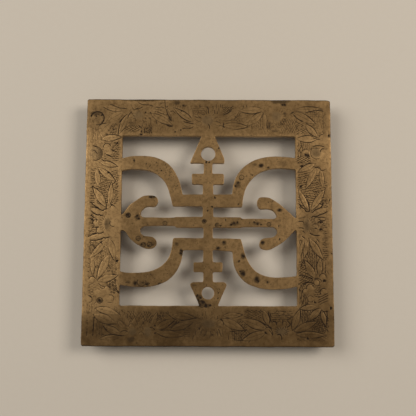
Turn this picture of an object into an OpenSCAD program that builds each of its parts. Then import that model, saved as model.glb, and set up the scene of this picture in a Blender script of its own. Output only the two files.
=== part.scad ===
// Square trivet: a pierced brass plate on four short turned feet.
// It lies flat with its feet on z = 0, its face up and its upper half towards +Y.

/* [Plate] */
// Side of the square plate
plate_side = 152; // [140:1:180]
// Thickness of the sheet
plate_t = 3.2; // [2.4:0.1:5]
// Radius of the plate's four outer corners
plate_corner_r = 1.6; // [0.5:0.1:6]
// Width of the left and right borders
side_border_w = 22.2; // [18:0.1:25]
// Width of the top and bottom borders
end_border_w = 23.8; // [18:0.1:25]

/* [Middle bar] */
// Offset of the middle bar's centre line from the centre of the plate
middle_y = -1.2; // [-3:0.1:3]
// Width of the middle bar at its thin ends
middle_w = 5.1; // [3:0.1:6]
// Width of the middle bar between the four arcs
middle_boss_w = 6.7; // [5:0.1:8]
// Length of that wider stretch
middle_boss_len = 40; // [20:1:56]
// Width of the slots above and below the middle bar
slot_w = 6.35; // [4.5:0.05:8]

/* [Arcs and cross bars] */
// Width of the short bars that join the legs of the arcs
short_bar_w = 7.35; // [5:0.05:9]
// Clear distance between the left and the right leg
legs_gap = 30.4; // [28:0.1:36]
// Width of each leg
leg_w = 6.1; // [5:0.1:8]
// How far each leg leans out over its height, in each millimetre
leg_lean = 0.1; // [0:0.01:0.2]
// Width of the arcs at their crowns
arc_w = 8; // [6:0.1:9]
// Distance from the side border to the crown of an arc's outer edge
arc_outer_shoulder = 12.8; // [9:0.1:16]
// Distance from the side border to the crown of an arc's inner edge
arc_inner_shoulder = 10; // [7:0.1:13]
// How far an arc drops from its crown to the side border
arc_sag = 1.1; // [0:0.1:2]
// Width of the upright stem between the short bars and the small bars
stem_w = 5.9; // [4:0.1:8]
// Width of the neck under each triangle
neck_w = 5.4; // [4:0.1:8]

/* [Upper half] */
// Gap between the upper border and the crowns of the arcs
upper_arc_gap = 12.15; // [9:0.05:14]
// Gap between the upper short bar and small bar
upper_step_gap = 6.25; // [4.5:0.05:8]
// Length of the upper small bar
upper_small_len = 19.7; // [14:0.1:22]
// Width of the upper small bar
upper_small_w = 6.7; // [5:0.1:8]
// Height of the neck under the upper triangle
upper_neck_h = 6.6; // [4.5:0.1:8]
// Width of the upper triangle at its base
upper_base_len = 21.5; // [18:0.1:24]
// Width of the upper triangle where it meets the border
upper_apex_len = 8; // [5:0.1:12]
// Diameter of the hanging hole in the upper triangle
upper_hole_d = 8.9; // [5:0.1:9.4]
// Height of that hole's centre above the base
upper_hole_rise = 6; // [5.6:0.1:7]

/* [Lower half] */
// Gap between the lower border and the crowns of the arcs
lower_arc_gap = 11; // [9:0.05:14]
// Gap between the lower short bar and small bar
lower_step_gap = 7.3; // [4.5:0.05:8]
// Length of the lower small bar
lower_small_len = 17.6; // [14:0.1:22]
// Width of the lower small bar
lower_small_w = 6.1; // [5:0.1:8]
// Height of the neck under the lower triangle
lower_neck_h = 5.8; // [4.5:0.1:8]
// Width of the lower triangle at its base
lower_base_len = 22.2; // [18:0.1:24]
// Width of the lower triangle where it meets the border
lower_apex_len = 11.1; // [5:0.1:14]
// Diameter of the hole in the lower triangle
lower_hole_d = 7.5; // [5:0.1:9.4]
// Height of that hole's centre above the base
lower_hole_rise = 6.7; // [5.6:0.1:7]

/* [Hooks] */
// Reach of each hook from the side border to its round tip
hook_reach = 22.9; // [19:0.1:25]
// Height of a hook's top above the centre line of the middle bar
hook_rise = 16.2; // [14:0.1:17]
// Width of a hook at its round end
hook_w = 7.4; // [6:0.1:8]
// Distance from the side border to the throat between a hook and the bar
throat_reach = 11.8; // [10:0.1:14]
// Height where a hook leaves the border, above the same centre line
notch_rise = 4.5; // [4:0.1:6]

/* [Feet] */
// Height of the feet, from the table to the underside of the plate
foot_h = 8.8; // [6:0.1:14]
// Diameter of the flat that a foot stands on
foot_flat_d = 6.4; // [5:0.1:8]
// Diameter of a foot at its belly
foot_belly_d = 9; // [8.2:0.1:11]
// Diameter of a foot at its neck
foot_neck_d = 5.8; // [5:0.1:7]
// Diameter of the flange that meets the plate
foot_flange_d = 8.8; // [7.6:0.1:10]
// Thickness of that flange
foot_flange_t = 1.2; // [0.8:0.1:2]
// Distance from the plate's edges to the centre of a foot
foot_inset = 11.5; // [9:0.1:14]
// Diameter of the spigot on top of a foot
spigot_d = 4; // [3:0.1:5]
// Length of the spigot
spigot_len = 1.6; // [1:0.1:1.8]
// Radial clearance of the spigot in its socket
socket_clearance = 0.1; // [0.05:0.01:0.2]
// Depth left for solder over the end of the spigot
socket_end_gap = 0.2; // [0.1:0.05:0.4]

/* [Solder] */
// How far the solder spreads out over the plate
solder_spread = 0.9; // [0.5:0.1:1.5]
// How far the solder climbs down the flange
solder_climb = 0.8; // [0.4:0.1:1]
// Radial film between the solder and the flange
solder_film = 0.05; // [0.02:0.01:0.1]

/* [Hidden] */

// Round features, and steps along each curved edge
$fn = 64;
curve_steps = 14;
end_steps = 12;

// The window inside the border, and how far one bar or arc is let into the next
win_x = plate_side / 2 - side_border_w;
win_y = plate_side / 2 - end_border_w;
lap = 1;
cut = 0.5;

// Edges of the bars of one half, measured from the centre line of the middle bar
bar_low = middle_boss_w / 2 + slot_w;
bar_high = bar_low + short_bar_w;
leg_x = legs_gap / 2;
bar_end_x = leg_x + leg_w;

// How strongly an arc's edge stays level at its crown and upright along its leg
crown_pull = 0.5;
leg_pull = 0.72;

// Hook: its round end, its underside with a short straight, and the throat below it
hook_r = hook_w / 2;
hook_end_x = win_x - hook_reach + hook_r;
hook_end_y = hook_rise - hook_r;
hook_under = hook_rise - hook_w;
hook_straight = 2.4;
hook_shoulder = 0.66;
throat_x = win_x - throat_reach;
throat_y = (hook_under + middle_w / 2) / 2;
throat_round = (hook_under - middle_w / 2) / 2;

// Rounding of a foot's lower edge, and how high its belly and neck lie
foot_edge = 0.4;
belly_z = foot_h * 0.28;
neck_z = foot_h * 0.62;
flange_z = foot_h - foot_flange_t;

foot_x = plate_side / 2 - foot_inset;
foot_y = plate_side / 2 - foot_inset;
plate_z = foot_h;

// Points on a cubic curve from a to d, drawn towards b and then c
function curve(a, b, c, d, steps) = [
    for (i = [0:steps])
        let (t = i / steps, s = 1 - t)
            s * s * s * a + 3 * s * s * t * b + 3 * s * t * t * c + t * t * t * d
];

// One edge of an arc, from the foot of its leg up to its crown and on to the border
function arc_edge(foot, crown, sag) = let (
    level = crown_pull * (crown.x - foot.x),
    upright = leg_pull * (crown.y - foot.y),
    end = [win_x + lap, crown.y - sag]
) concat(
    curve(
        foot,
        [foot.x + leg_lean * upright, foot.y + upright],
        [crown.x - level, crown.y],
        crown,
        curve_steps
    ),
    curve(
        crown,
        [crown.x + (end.x - crown.x) / 2, crown.y],
        [crown.x + (end.x - crown.x) * 3 / 4, crown.y - sag / 2],
        end,
        curve_steps
    )
);

// An outline sawn out of the sheet
module sheet() {
    linear_extrude(plate_t) children();
}

function reversed(points) = [for (i = [len(points) - 1:-1:0]) points[i]];

// Right-hand arc of one half, with its leg down to the inner edge of the short bar
module arc(arc_gap, window_h) {
    crown_y = window_h - arc_gap;
    outer = arc_edge(
        [leg_x, bar_high],
        [win_x - arc_outer_shoulder, crown_y],
        arc_sag
    );
    inner = arc_edge(
        [bar_end_x, bar_low],
        [win_x - arc_inner_shoulder, crown_y - arc_w],
        arc_sag
    );
    sheet() polygon(concat([[leg_x, bar_low]], outer, reversed(inner)));
}

// Right-hand hook of one half, grown out of the root of the middle bar
module hook() {
    back = curve(
        [win_x + lap, notch_rise - lap],
        [win_x - hook_reach / 4, hook_rise * hook_shoulder],
        [hook_end_x + hook_w, hook_rise],
        [hook_end_x, hook_rise],
        curve_steps
    );
    tip = [
        for (i = [1:end_steps - 1])
            let (angle = 90 + 180 * i / end_steps)
                [hook_end_x + hook_r * cos(angle), hook_end_y + hook_r * sin(angle)]
    ];
    under = curve(
        [hook_end_x + hook_straight, hook_under],
        [throat_x - throat_round, hook_under],
        [throat_x, throat_y + throat_round],
        [throat_x, throat_y],
        curve_steps
    );
    root = curve(
        [throat_x, throat_y],
        [throat_x, throat_y - throat_round / 2],
        [throat_x - throat_round / 4, middle_w / 2],
        [throat_x - throat_round, middle_w / 2],
        curve_steps
    );
    sheet() polygon(concat(
        back,
        tip,
        [[hook_end_x, hook_under]],
        under,
        [for (i = [1:curve_steps]) root[i]],
        [[throat_x - throat_round, 0], [win_x + lap, 0]]
    ));
}

// Triangle of one half, without its hole
module triangle(base_y, base_len, apex_len, window_h) {
    sheet() polygon([
        [-base_len / 2, base_y],
        [base_len / 2, base_y],
        [apex_len / 2, window_h],
        [apex_len / 2, window_h + lap],
        [-apex_len / 2, window_h + lap],
        [-apex_len / 2, window_h]
    ]);
}

// A bar across the centre line, from y = low to y = high
module level_bar(len, low, high) {
    translate([-len / 2, low, 0]) cube([len, high - low, plate_t]);
}

// Height of a triangle's base above the centre line of the middle bar
function base_height(step_gap, small_w, neck_h) = bar_high + step_gap + small_w + neck_h;

// All of the grille on one side of the middle bar, drawn upwards
module half_grille(window_h, arc_gap, step_gap, small_len, small_w, neck_h, base_len, apex_len) {
    small_low = bar_high + step_gap;
    small_high = small_low + small_w;
    base_y = base_height(step_gap, small_w, neck_h);
    for (side = [0, 1]) {
        mirror([side, 0, 0]) {
            arc(arc_gap, window_h);
            hook();
        }
    }
    level_bar(leg_x + bar_end_x, bar_low, bar_high);
    level_bar(small_len, small_low, small_high);
    level_bar(stem_w, 0, small_low + lap);
    level_bar(neck_w, small_high - lap, base_y + lap);
    triangle(base_y, base_len, apex_len, window_h);
}

module middle_bar() {
    level_bar(2 * (win_x + lap), -middle_w / 2, middle_w / 2);
    level_bar(middle_boss_len, -middle_boss_w / 2, middle_boss_w / 2);
}

module grille() {
    translate([0, middle_y, 0]) {
        middle_bar();
        half_grille(
            win_y - middle_y, upper_arc_gap, upper_step_gap, upper_small_len, upper_small_w,
            upper_neck_h, upper_base_len, upper_apex_len
        );
        mirror([0, 1, 0]) half_grille(
            win_y + middle_y, lower_arc_gap, lower_step_gap, lower_small_len, lower_small_w,
            lower_neck_h, lower_base_len, lower_apex_len
        );
    }
}

// The square border round the window, with rounded outer corners
module border() {
    inside = plate_side - 2 * plate_corner_r;
    sheet() difference() {
        union() {
            square([plate_side, inside], center = true);
            square([inside, plate_side], center = true);
            for (x = [-1, 1])
                for (y = [-1, 1])
                    translate([x * inside / 2, y * inside / 2]) circle(r = plate_corner_r);
        }
        square([2 * win_x, 2 * win_y], center = true);
    }
}

// Centres of the two holes in the triangles
upper_hole_y = middle_y + base_height(upper_step_gap, upper_small_w, upper_neck_h)
    + upper_hole_rise;
lower_hole_y = middle_y - base_height(lower_step_gap, lower_small_w, lower_neck_h)
    - lower_hole_rise;

module through_hole(y, d) {
    translate([0, y, plate_z - cut]) cylinder(d = d, h = plate_t + 2 * cut);
}

module at_each_foot() {
    for (x = [-1, 1])
        for (y = [-1, 1])
            translate([x * foot_x, y * foot_y, 0]) children();
}

module socket() {
    translate([0, 0, plate_z - cut])
        cylinder(d = spigot_d + 2 * socket_clearance, h = cut + spigot_len + socket_end_gap);
}

// The sheet: border and grille in one piece, with two holes and four blind sockets
module plate() {
    color([0.51, 0.40, 0.27])
        difference() {
            translate([0, 0, plate_z]) {
                border();
                grille();
            }
            through_hole(upper_hole_y, upper_hole_d);
            through_hole(lower_hole_y, lower_hole_d);
            at_each_foot() socket();
        }
}

// Half of a foot's outline, from the table up: a round belly, a neck and a flange
module foot_outline() {
    belly = curve(
        [foot_flat_d / 2 + foot_edge, foot_edge],
        [foot_belly_d / 2, foot_edge],
        [foot_belly_d / 2, belly_z * 0.6],
        [foot_belly_d / 2, belly_z],
        end_steps
    );
    waist = curve(
        [foot_belly_d / 2, belly_z],
        [foot_belly_d / 2, neck_z * 0.75],
        [foot_neck_d / 2, neck_z * 0.75],
        [foot_neck_d / 2, neck_z],
        end_steps
    );
    flare = curve(
        [foot_neck_d / 2, neck_z],
        [foot_neck_d / 2, flange_z],
        [foot_flange_d / 2, flange_z],
        [foot_flange_d / 2, flange_z],
        end_steps
    );
    polygon(concat(
        [[0, 0], [foot_flat_d / 2, 0]],
        belly,
        [for (i = [1:end_steps]) waist[i]],
        [for (i = [1:end_steps]) flare[i]],
        [
            [foot_flange_d / 2, foot_h],
            [spigot_d / 2, foot_h],
            [spigot_d / 2, foot_h + spigot_len],
            [0, foot_h + spigot_len]
        ]
    ));
}

module foot(x, y) {
    color([0.55, 0.44, 0.29])
        translate([x * foot_x, y * foot_y, 0])
            rotate_extrude() foot_outline();
}

// Solder drawn into a hollow fillet between a foot's flange and the plate
module solder(x, y) {
    ring_r = foot_flange_d / 2 + solder_film;
    hollow = curve(
        [ring_r, foot_h - solder_climb],
        [ring_r + solder_spread * 0.15, foot_h - solder_climb * 0.35],
        [ring_r + solder_spread * 0.35, foot_h - solder_climb * 0.15],
        [ring_r + solder_spread, foot_h],
        end_steps
    );
    color([0.55, 0.55, 0.53])
        translate([x * foot_x, y * foot_y, 0])
            rotate_extrude() polygon(concat(hollow, [[ring_r, foot_h]]));
}

module foot_front_left() { foot(-1, -1); }
module foot_front_right() { foot(1, -1); }
module foot_back_left() { foot(-1, 1); }
module foot_back_right() { foot(1, 1); }
module solder_front_left() { solder(-1, -1); }
module solder_front_right() { solder(1, -1); }
module solder_back_left() { solder(-1, 1); }
module solder_back_right() { solder(1, 1); }

plate();
foot_front_left();
foot_front_right();
foot_back_left();
foot_back_right();
solder_front_left();
solder_front_right();
solder_back_left();
solder_back_right();
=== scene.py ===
import math

import bpy
import numpy as np
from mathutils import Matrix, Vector
from mathutils.geometry import delaunay_2d_cdt


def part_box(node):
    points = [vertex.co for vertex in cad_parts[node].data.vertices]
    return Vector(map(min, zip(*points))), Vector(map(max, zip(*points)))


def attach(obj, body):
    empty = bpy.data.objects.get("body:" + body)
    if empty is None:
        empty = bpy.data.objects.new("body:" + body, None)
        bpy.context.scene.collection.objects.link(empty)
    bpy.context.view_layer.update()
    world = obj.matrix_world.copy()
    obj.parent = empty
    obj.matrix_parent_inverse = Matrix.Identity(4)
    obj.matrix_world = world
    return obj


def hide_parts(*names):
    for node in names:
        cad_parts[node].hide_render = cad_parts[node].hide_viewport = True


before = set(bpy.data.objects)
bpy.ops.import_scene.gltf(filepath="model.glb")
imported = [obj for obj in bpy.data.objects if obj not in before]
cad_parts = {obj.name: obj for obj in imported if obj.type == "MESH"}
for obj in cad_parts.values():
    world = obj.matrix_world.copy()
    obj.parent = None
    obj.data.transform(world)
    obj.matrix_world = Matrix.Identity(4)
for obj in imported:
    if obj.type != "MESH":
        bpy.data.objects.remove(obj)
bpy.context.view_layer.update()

# The plate is one square of brass sheet, its border and grille in one piece.
# The grille is sawn out and filed by hand, so each quarter has its own measures, in millimetres.
MM = 0.001
plate_low, plate_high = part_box("plate")
half_side = plate_high.x / MM
face_z = plate_high.z / MM
back_z = plate_low.z / MM
edge_step = 0.7
boss_half = 20


def curve(a, b, c, d, steps=26):
    """Points on a cubic curve from a to d, drawn towards b and then c."""
    t = np.linspace(0, 1, steps)[:, None]
    a, b, c, d = (np.array(p, float) for p in (a, b, c, d))
    return (1 - t) ** 3 * a + 3 * (1 - t) ** 2 * t * b + 3 * (1 - t) * t**2 * c + t**3 * d


def through(points, steps=5):
    """Points on a smooth line that passes through a few given places."""
    p = np.array([points[0], *points, points[-1]], float)
    t = np.arange(steps)[:, None] / steps
    spans = []
    for a, b, c, d in zip(p[:-3], p[1:-2], p[2:-1], p[3:]):
        steady = 2 * b + (c - a) * t
        turning = (2 * a - 5 * b + 4 * c - d) * t**2 + (3 * b - a - 3 * c + d) * t**3
        spans.append((steady + turning) / 2)
    return np.vstack([*spans, p[-1:]])


def arc_edge(controls, border_x, end_y):
    """One edge of an arc, from the foot of its leg over its crown to the side border."""
    crown = controls[3]
    run = border_x - crown[0]
    shoulder = (crown[0] + run / 2, crown[1])
    landing = (crown[0] + run * 3 / 4, (crown[1] + end_y) / 2)
    return np.vstack([curve(*controls), curve(crown, shoulder, landing, (border_x, end_y), 16)[1:]])


def saw_quarter(
    side, level, border, triangle, neck, small_bar, stem, short_bar, outer, inner, middle, hook,
):
    """The two windows of one quarter, from measures taken outwards from the plate's middle.

    border: x and y of its inner edge, and the y at which each edge of the arc runs into it.
    small_bar: its half length, and its far and near edges; short_bar: its far and near edges.
    middle: the far edge of the boss, and of the bar beside it. The rest are half widths, points
    of an outline, or the control points of an arc's edges.
    """
    border_x, border_y, outer_end, inner_end = border
    small_x, small_high, small_low = small_bar
    short_high, short_low = short_bar
    boss_y, thin_y = middle
    beyond = np.vstack([
        [(border_x, border_y)],
        triangle,
        [(neck, triangle[-1][1]), (neck, small_high), (small_x, small_high), (small_x, small_low)],
        [(stem, small_low), (stem, short_high)],
        arc_edge(outer, border_x, outer_end),
    ])
    within = np.vstack([
        arc_edge(inner, border_x, inner_end)[::-1],
        [(stem, short_low), (stem, boss_y), (boss_half, boss_y), (boss_half + 0.5, thin_y)],
        through(hook),
    ])
    return [beyond * (side, level), within * (side, level)]


windows = saw_quarter(
    side=-1, level=1, border=(53.6, 52.6, 38.4, 30.6),
    triangle=[(4.2, 52.6), (11.6, 35.5)], neck=2.8, small_bar=(10.2, 28.9, 22.2),
    stem=3.4, short_bar=(16, 8.6), middle=(2.1, 1.7),
    outer=[(15.9, 15.9), (18.4, 31.3), (25.3, 40.1), (42, 40.1)],
    inner=[(21.8, 8.6), (24.5, 18.9), (25.9, 31.7), (45, 31.7)],
    hook=[
        (40, 1.7), (41.6, 3), (41.4, 5.2), (39.2, 7.5), (36.5, 8.3), (33.2, 8.2), (31.4, 9.9),
        (31, 12.6), (32.6, 14.8), (36.7, 15.2), (40.3, 14.7), (45.1, 11.7), (49, 8.6),
        (52.2, 4), (53.6, 3.3),
    ],
) + saw_quarter(
    side=1, level=1, border=(54, 52.6, 39, 31.8),
    triangle=[(3.6, 52.6), (9.9, 38.4), (9.9, 35.4)], neck=2.3, small_bar=(9.5, 28.9, 22.2),
    stem=2.9, short_bar=(16, 8.1), middle=(2.1, 1.1),
    outer=[(14.7, 16.1), (14.8, 37.7), (35.8, 40), (40.5, 40)],
    inner=[(20.9, 8.1), (21.1, 29.8), (36.6, 32.5), (44, 32.5)],
    hook=[
        (40.3, 1.1), (41.7, 2.2), (41.4, 4.1), (39.2, 6.3), (36, 7.2), (32.2, 7), (30.4, 8.6),
        (30.1, 11.7), (31.4, 14.1), (35.2, 14.5), (38.1, 13.9), (43.3, 10.6), (48.4, 6.2),
        (52.4, 2.2), (54, 1.4),
    ],
) + saw_quarter(
    side=-1, level=-1, border=(53.6, 51.8, 39.2, 31.2),
    triangle=[(5.1, 51.8), (11, 38.9), (9.6, 37.5)], neck=2.8, small_bar=(8.9, 31.6, 25.5),
    stem=2.9, short_bar=(18.1, 10.8), middle=(4.5, 3.4),
    outer=[(15.2, 18.3), (17.6, 40.1), (33.9, 40.6), (40.3, 40.6)],
    inner=[(21.5, 10.8), (22, 17.1), (21.9, 32.1), (44, 32.1)],
    hook=[
        (39.6, 3.6), (41.5, 5.2), (41.6, 7.4), (39.6, 9.5), (36.6, 9.9), (33.6, 10.3), (31.6, 12.6),
        (31.8, 15.2), (34, 17.2), (37.8, 17.4), (42.9, 15), (47.7, 11.4), (51, 6.8),
        (53.6, 6.3),
    ],
) + saw_quarter(
    side=1, level=-1, border=(54, 51.8, 40, 33.6),
    triangle=[(6, 51.8), (11.4, 38.9), (10, 37.5)], neck=2.9, small_bar=(8.7, 31.6, 25.5),
    stem=2.7, short_bar=(18.1, 10.9), middle=(4.5, 3.9),
    outer=[(14.9, 19.1), (15.1, 37.5), (26.2, 41.8), (40, 41.8)],
    inner=[(20, 11.2), (22.7, 20.4), (23.6, 34.5), (41, 34.5)],
    hook=[
        (40, 4), (42, 5.6), (41.9, 8.2), (39.6, 10.2), (35.5, 10.6), (32.2, 11.7), (31.2, 14.7),
        (32.2, 17.2), (35.4, 18.1), (38.9, 17.2), (45.5, 13.2), (48.4, 10.6), (52.4, 6.4),
        (54, 5.8),
    ],
)


def arc(x, y, radius, turn):
    """Places on a circle, at the angles given."""
    return np.column_stack([x + radius * np.cos(turn), y + radius * np.sin(turn)])


def circle(x, y, radius, count):
    """A round outline."""
    return arc(x, y, radius, np.arange(count) * 2 * math.pi / count)


holes = [circle(-0.2, 41.5, 4.45, 40), circle(0, -44.15, 3.75, 36)]


def fill_in(outline, step):
    """The same closed outline with points a step apart, and none much closer together."""
    laid = []
    for a, b in zip(outline, np.roll(outline, -1, axis=0)):
        length = math.dist(a, b)
        if length > step / 3:
            count = max(1, round(length / step))
            laid.append(a + (b - a) * np.arange(count)[:, None] / count)
    return np.vstack(laid)


def area(outline):
    """Twice the area of a closed outline, above zero where it runs anticlockwise."""
    x, y = outline.T
    return np.sum(x * np.roll(y, -1) - y * np.roll(x, -1))


def across(outline):
    """Unit vectors to the left of a closed outline, which is where its brass is."""
    run = np.roll(outline, -1, axis=0) - np.roll(outline, 1, axis=0)
    run /= np.hypot(*run.T)[:, None]
    return np.column_stack([-run[:, 1], run[:, 0]])


def hand_cut(outline, seed, corner_passes, waver):
    """An outline as a piercing saw and a file leave it: corners eased and edges a little wavy."""
    for _ in range(corner_passes):
        outline = (np.roll(outline, 1, axis=0) + 2 * outline + np.roll(outline, -1, axis=0)) / 4
    around = np.arange(len(outline)) / len(outline) * 2 * math.pi
    length = len(outline) * edge_step
    swing = np.zeros(len(outline))
    for number, wave in enumerate((31, 13, 7, 3.1)):
        swing += np.sin(around * round(length / wave) + seed * 1.7 + number * 2.3) / (1 + number)
    return outline + across(outline) * (swing * waver)[:, None]


def plate_edge():
    """The square of the plate, with its corners rounded and the far right one taken off more."""
    rounded = []
    # the corner's side and level, its radii, and the angle at which its round starts
    for x, y, wide, high, start in (
        (1, 1, 3.0, 1.3, 0), (-1, 1, 1.3, 1.3, 90), (-1, -1, 1.5, 1.5, 180), (1, -1, 1.6, 1.6, 270),
    ):
        radii = np.array([wide, high])
        middle = (half_side - radii) * (x, y)
        rounded.append(middle + radii * arc(0, 0, 1, np.radians(start + np.linspace(0, 90, 6))))
    square = fill_in(np.vstack(rounded), edge_step)
    filed_off = 0.12
    wavy = hand_cut(square, seed=4, corner_passes=0, waver=0.06) + across(square) * filed_off
    return np.clip(wavy, -half_side, half_side)


def with_brass_left(outline, brass_inside):
    """The outline, turned round if need be, so that its brass lies to its left."""
    return outline if (area(outline) > 0) == brass_inside else outline[::-1]


outlines = [with_brass_left(plate_edge(), True)]
for number, window in enumerate(windows):
    sawn = with_brass_left(fill_in(window, edge_step), False)
    outlines.append(hand_cut(sawn, seed=number, corner_passes=2, waver=0.07))
for hole in holes:
    outlines.append(hand_cut(with_brass_left(hole, False), seed=3, corner_passes=0, waver=0.03))


def in_brass(points, edges):
    """Whether each place lies in brass, which has an odd number of cut lines to its right."""
    order = np.argsort(points[:, 1])
    x, y = points[order].T
    odd = np.zeros(len(points), bool)
    for outline in edges:
        for a, b in zip(outline, np.roll(outline, -1, axis=0)):
            first, last = np.searchsorted(y, sorted((a[1], b[1])))
            if first < last:
                crossing = a[0] + (y[first:last] - a[1]) * (b[0] - a[0]) / (b[1] - a[1])
                odd[first:last] ^= x[first:last] < crossing
    found = np.zeros(len(points), bool)
    found[order] = odd
    return found


# The engraving: every leaf, petal and tick is cut or punched into the face of the border by hand.
# Cuts are grooves with sloping sides; the ground between the leaves is sunk a little by the punch.
ring_width = 0.5
petal_width = 0.36
tooth_width = 0.45
vein_width = 0.3
vein_dirt = 0.36
leaf_step = 0.6
flower_points = 28


def raise_to(layer, where, values):
    """Lays values into part of a layer, where they are above what it holds."""
    layer[where] = np.maximum(layer[where], values)


def soften(layer, cells):
    """A layer blurred over some cells each way."""
    for axis in (0, 1):
        layer = sum(np.roll(layer, k, axis) for k in range(-cells, cells + 1)) / (2 * cells + 1)
    return layer


class Face:
    """The worked face of the plate, as layers of values on a fine square grid, in millimetres.

    Each tool mark sinks into the layers, and leaves mesh points along itself. The kept layer
    holds the leaves and flowers, which the punch keeps off. The spill is how far from the middle
    of a cut its dirt reaches, in half widths of the cut.
    """

    cell = 0.08
    spill = 1.25

    def __init__(self, reach):
        self.reach = reach
        self.count = int(2 * reach / self.cell) + 1
        self.depth = self.layer()
        self.dirt = self.layer()
        self.ground = self.layer()
        self.kept = self.layer()
        self.dull = self.layer()
        self.stains_and_shade = self.layer()
        self.near_edge = self.layer()
        self.points = []

    def layer(self):
        """A new layer of noughts."""
        return np.zeros((self.count, self.count), np.float32)

    def patch(self, points, margin):
        """The part of the grid round some points, and the places of its columns and rows."""
        points = np.asarray(points, float)
        first = (points.min(0) - margin + self.reach) / self.cell
        last = (points.max(0) + margin + self.reach) / self.cell
        left, low = np.clip(first.astype(int), 0, self.count - 1)
        right, high = np.clip(last.astype(int) + 1, 1, self.count)
        x = np.arange(left, right) * self.cell - self.reach
        y = np.arange(low, high) * self.cell - self.reach
        return (slice(low, high), slice(left, right)), x[None, :], y[:, None]

    def distances(self, path, margin):
        """Each straight bit of a path: the grid near it, and how far its cells are from the bit."""
        for a, b in zip(path[:-1], path[1:]):
            where, x, y = self.patch([a, b], margin)
            run = b - a
            share = ((x - a[0]) * run[0] + (y - a[1]) * run[1]) / max(run @ run, 1e-9)
            share = np.clip(share, 0, 1)
            yield where, np.hypot(x - a[0] - share * run[0], y - a[1] - share * run[1])

    def cut(self, path, width, dirt):
        """A groove along a path, as a graver leaves it; where it is darker it is also deeper."""
        path = np.asarray(path, float)
        half = width / 2
        press = np.broadcast_to(dirt, len(path))
        for (where, gap), firm in zip(self.distances(path, 1.4 * half), press):
            depth = width * (0.1 + 0.17 * firm)
            raise_to(self.depth, where, depth * np.clip(1 - gap / half, 0, 1))
            raise_to(self.dirt, where, firm * np.clip(self.spill - gap / half, 0, 1))
        run = np.gradient(path, axis=0)
        run /= np.maximum(np.hypot(*run.T), 1e-9)[:, None]
        aside = np.column_stack([-run[:, 1], run[:, 0]]) * half * self.spill
        ends = np.array([path[0] - run[0] * half, path[-1] + run[-1] * half])
        self.points += [path, path + aside, path - aside, ends]

    def fill(self, layer, outline):
        """Marks everything inside an outline in a layer."""
        where, x, y = self.patch(outline, 0)
        inside = np.zeros((y.size, x.size), bool)
        for a, b in zip(outline, np.roll(outline, -1, axis=0)):
            if a[1] != b[1]:
                between = (y > min(a[1], b[1])) & (y <= max(a[1], b[1]))
                inside ^= between & (x < a[0] + (y - a[1]) * (b[0] - a[0]) / (b[1] - a[1]))
        raise_to(layer, where, inside)

    def pit(self, x, y, radius, depth, dirt):
        """A pit in the brass: a shallow bowl with an uneven edge and a dark floor."""
        where, across_x, up_y = self.patch([(x, y)], 1.7 * radius)
        turn = np.arctan2(up_y - y, across_x - x)
        uneven = 1 + 0.2 * np.sin(2 * turn + x) + 0.12 * np.sin(3 * turn + 2 * y)
        gap = np.hypot(across_x - x, up_y - y) / (radius * uneven)
        raise_to(self.depth, where, depth * np.clip(1 - gap**2, 0, 1))
        raise_to(self.dirt, where, dirt * np.clip(1.3 - gap, 0, 1))
        self.points.append(np.array([[x, y]]))
        for share, count in ((0.45, 6), (0.85, 9), (1.3, 11)):
            self.points.append(circle(x, y, radius * share, count))

    def stain_and_shade(self, x, y, wide, high, strength):
        """A soft dark blotch."""
        where, across_x, up_y = self.patch([(x, y)], max(wide, high))
        gap = np.hypot((across_x - x) / wide, (up_y - y) / high) * 2
        raise_to(self.stains_and_shade, where, strength * np.clip(1.4 - gap, 0, 1))
        for share in (0.3, 0.6, 0.9, 1.3):
            self.points.append((x, y) + circle(0, 0, share / 2, 4 + round(7 * share)) * (wide, high))

    def read(self, layer, points):
        """A layer's values at some places, worked out between its cells."""
        at = (points + self.reach) / self.cell
        corner = np.clip(at.astype(int), 0, self.count - 2)
        (i, j), (u, v) = corner.T, (at - corner).T
        low = layer[j, i] * (1 - u) + layer[j, i + 1] * u
        high = layer[j + 1, i] * (1 - u) + layer[j + 1, i + 1] * u
        return low * (1 - v) + high * v


face = Face(half_side + 1)


def leaf(base_x, base_y, tip_x, tip_y, width, left, right, bow=0.0):
    """A leaf: a lance with a cut edge on its left and right, seen from its base to its tip."""
    base = np.array([base_x, base_y])
    spine = np.array([tip_x, tip_y]) - base
    length = np.hypot(*spine)
    aside = np.array([-spine[1], spine[0]]) / length
    t = np.linspace(0, 1, round(length / leaf_step))
    swell = width / 2 * np.sin(math.pi * t**0.85)
    middle = base + np.outer(t, spine) + np.outer(bow * length * np.sin(math.pi * t), aside)
    edges = [middle + np.outer(swell, aside), middle - np.outer(swell, aside)]
    face.fill(face.kept, np.vstack([edges[0], edges[1][::-1]]))
    for edge, strength in zip(edges, (left, right)):
        if strength:
            waver = 0.8 + 0.4 * np.sin(6.5 * t + base_x + 9 * strength)
            press = strength * waver * np.clip(6 * np.minimum(t, 1 - t), 0.5, 1)
            face.cut(edge, 0.38 + 0.2 * strength, press)
    if width > 3 and left + right > 0:
        face.cut(middle[round(0.12 * len(t)):round(0.82 * len(t))], vein_width, vein_dirt)


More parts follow.
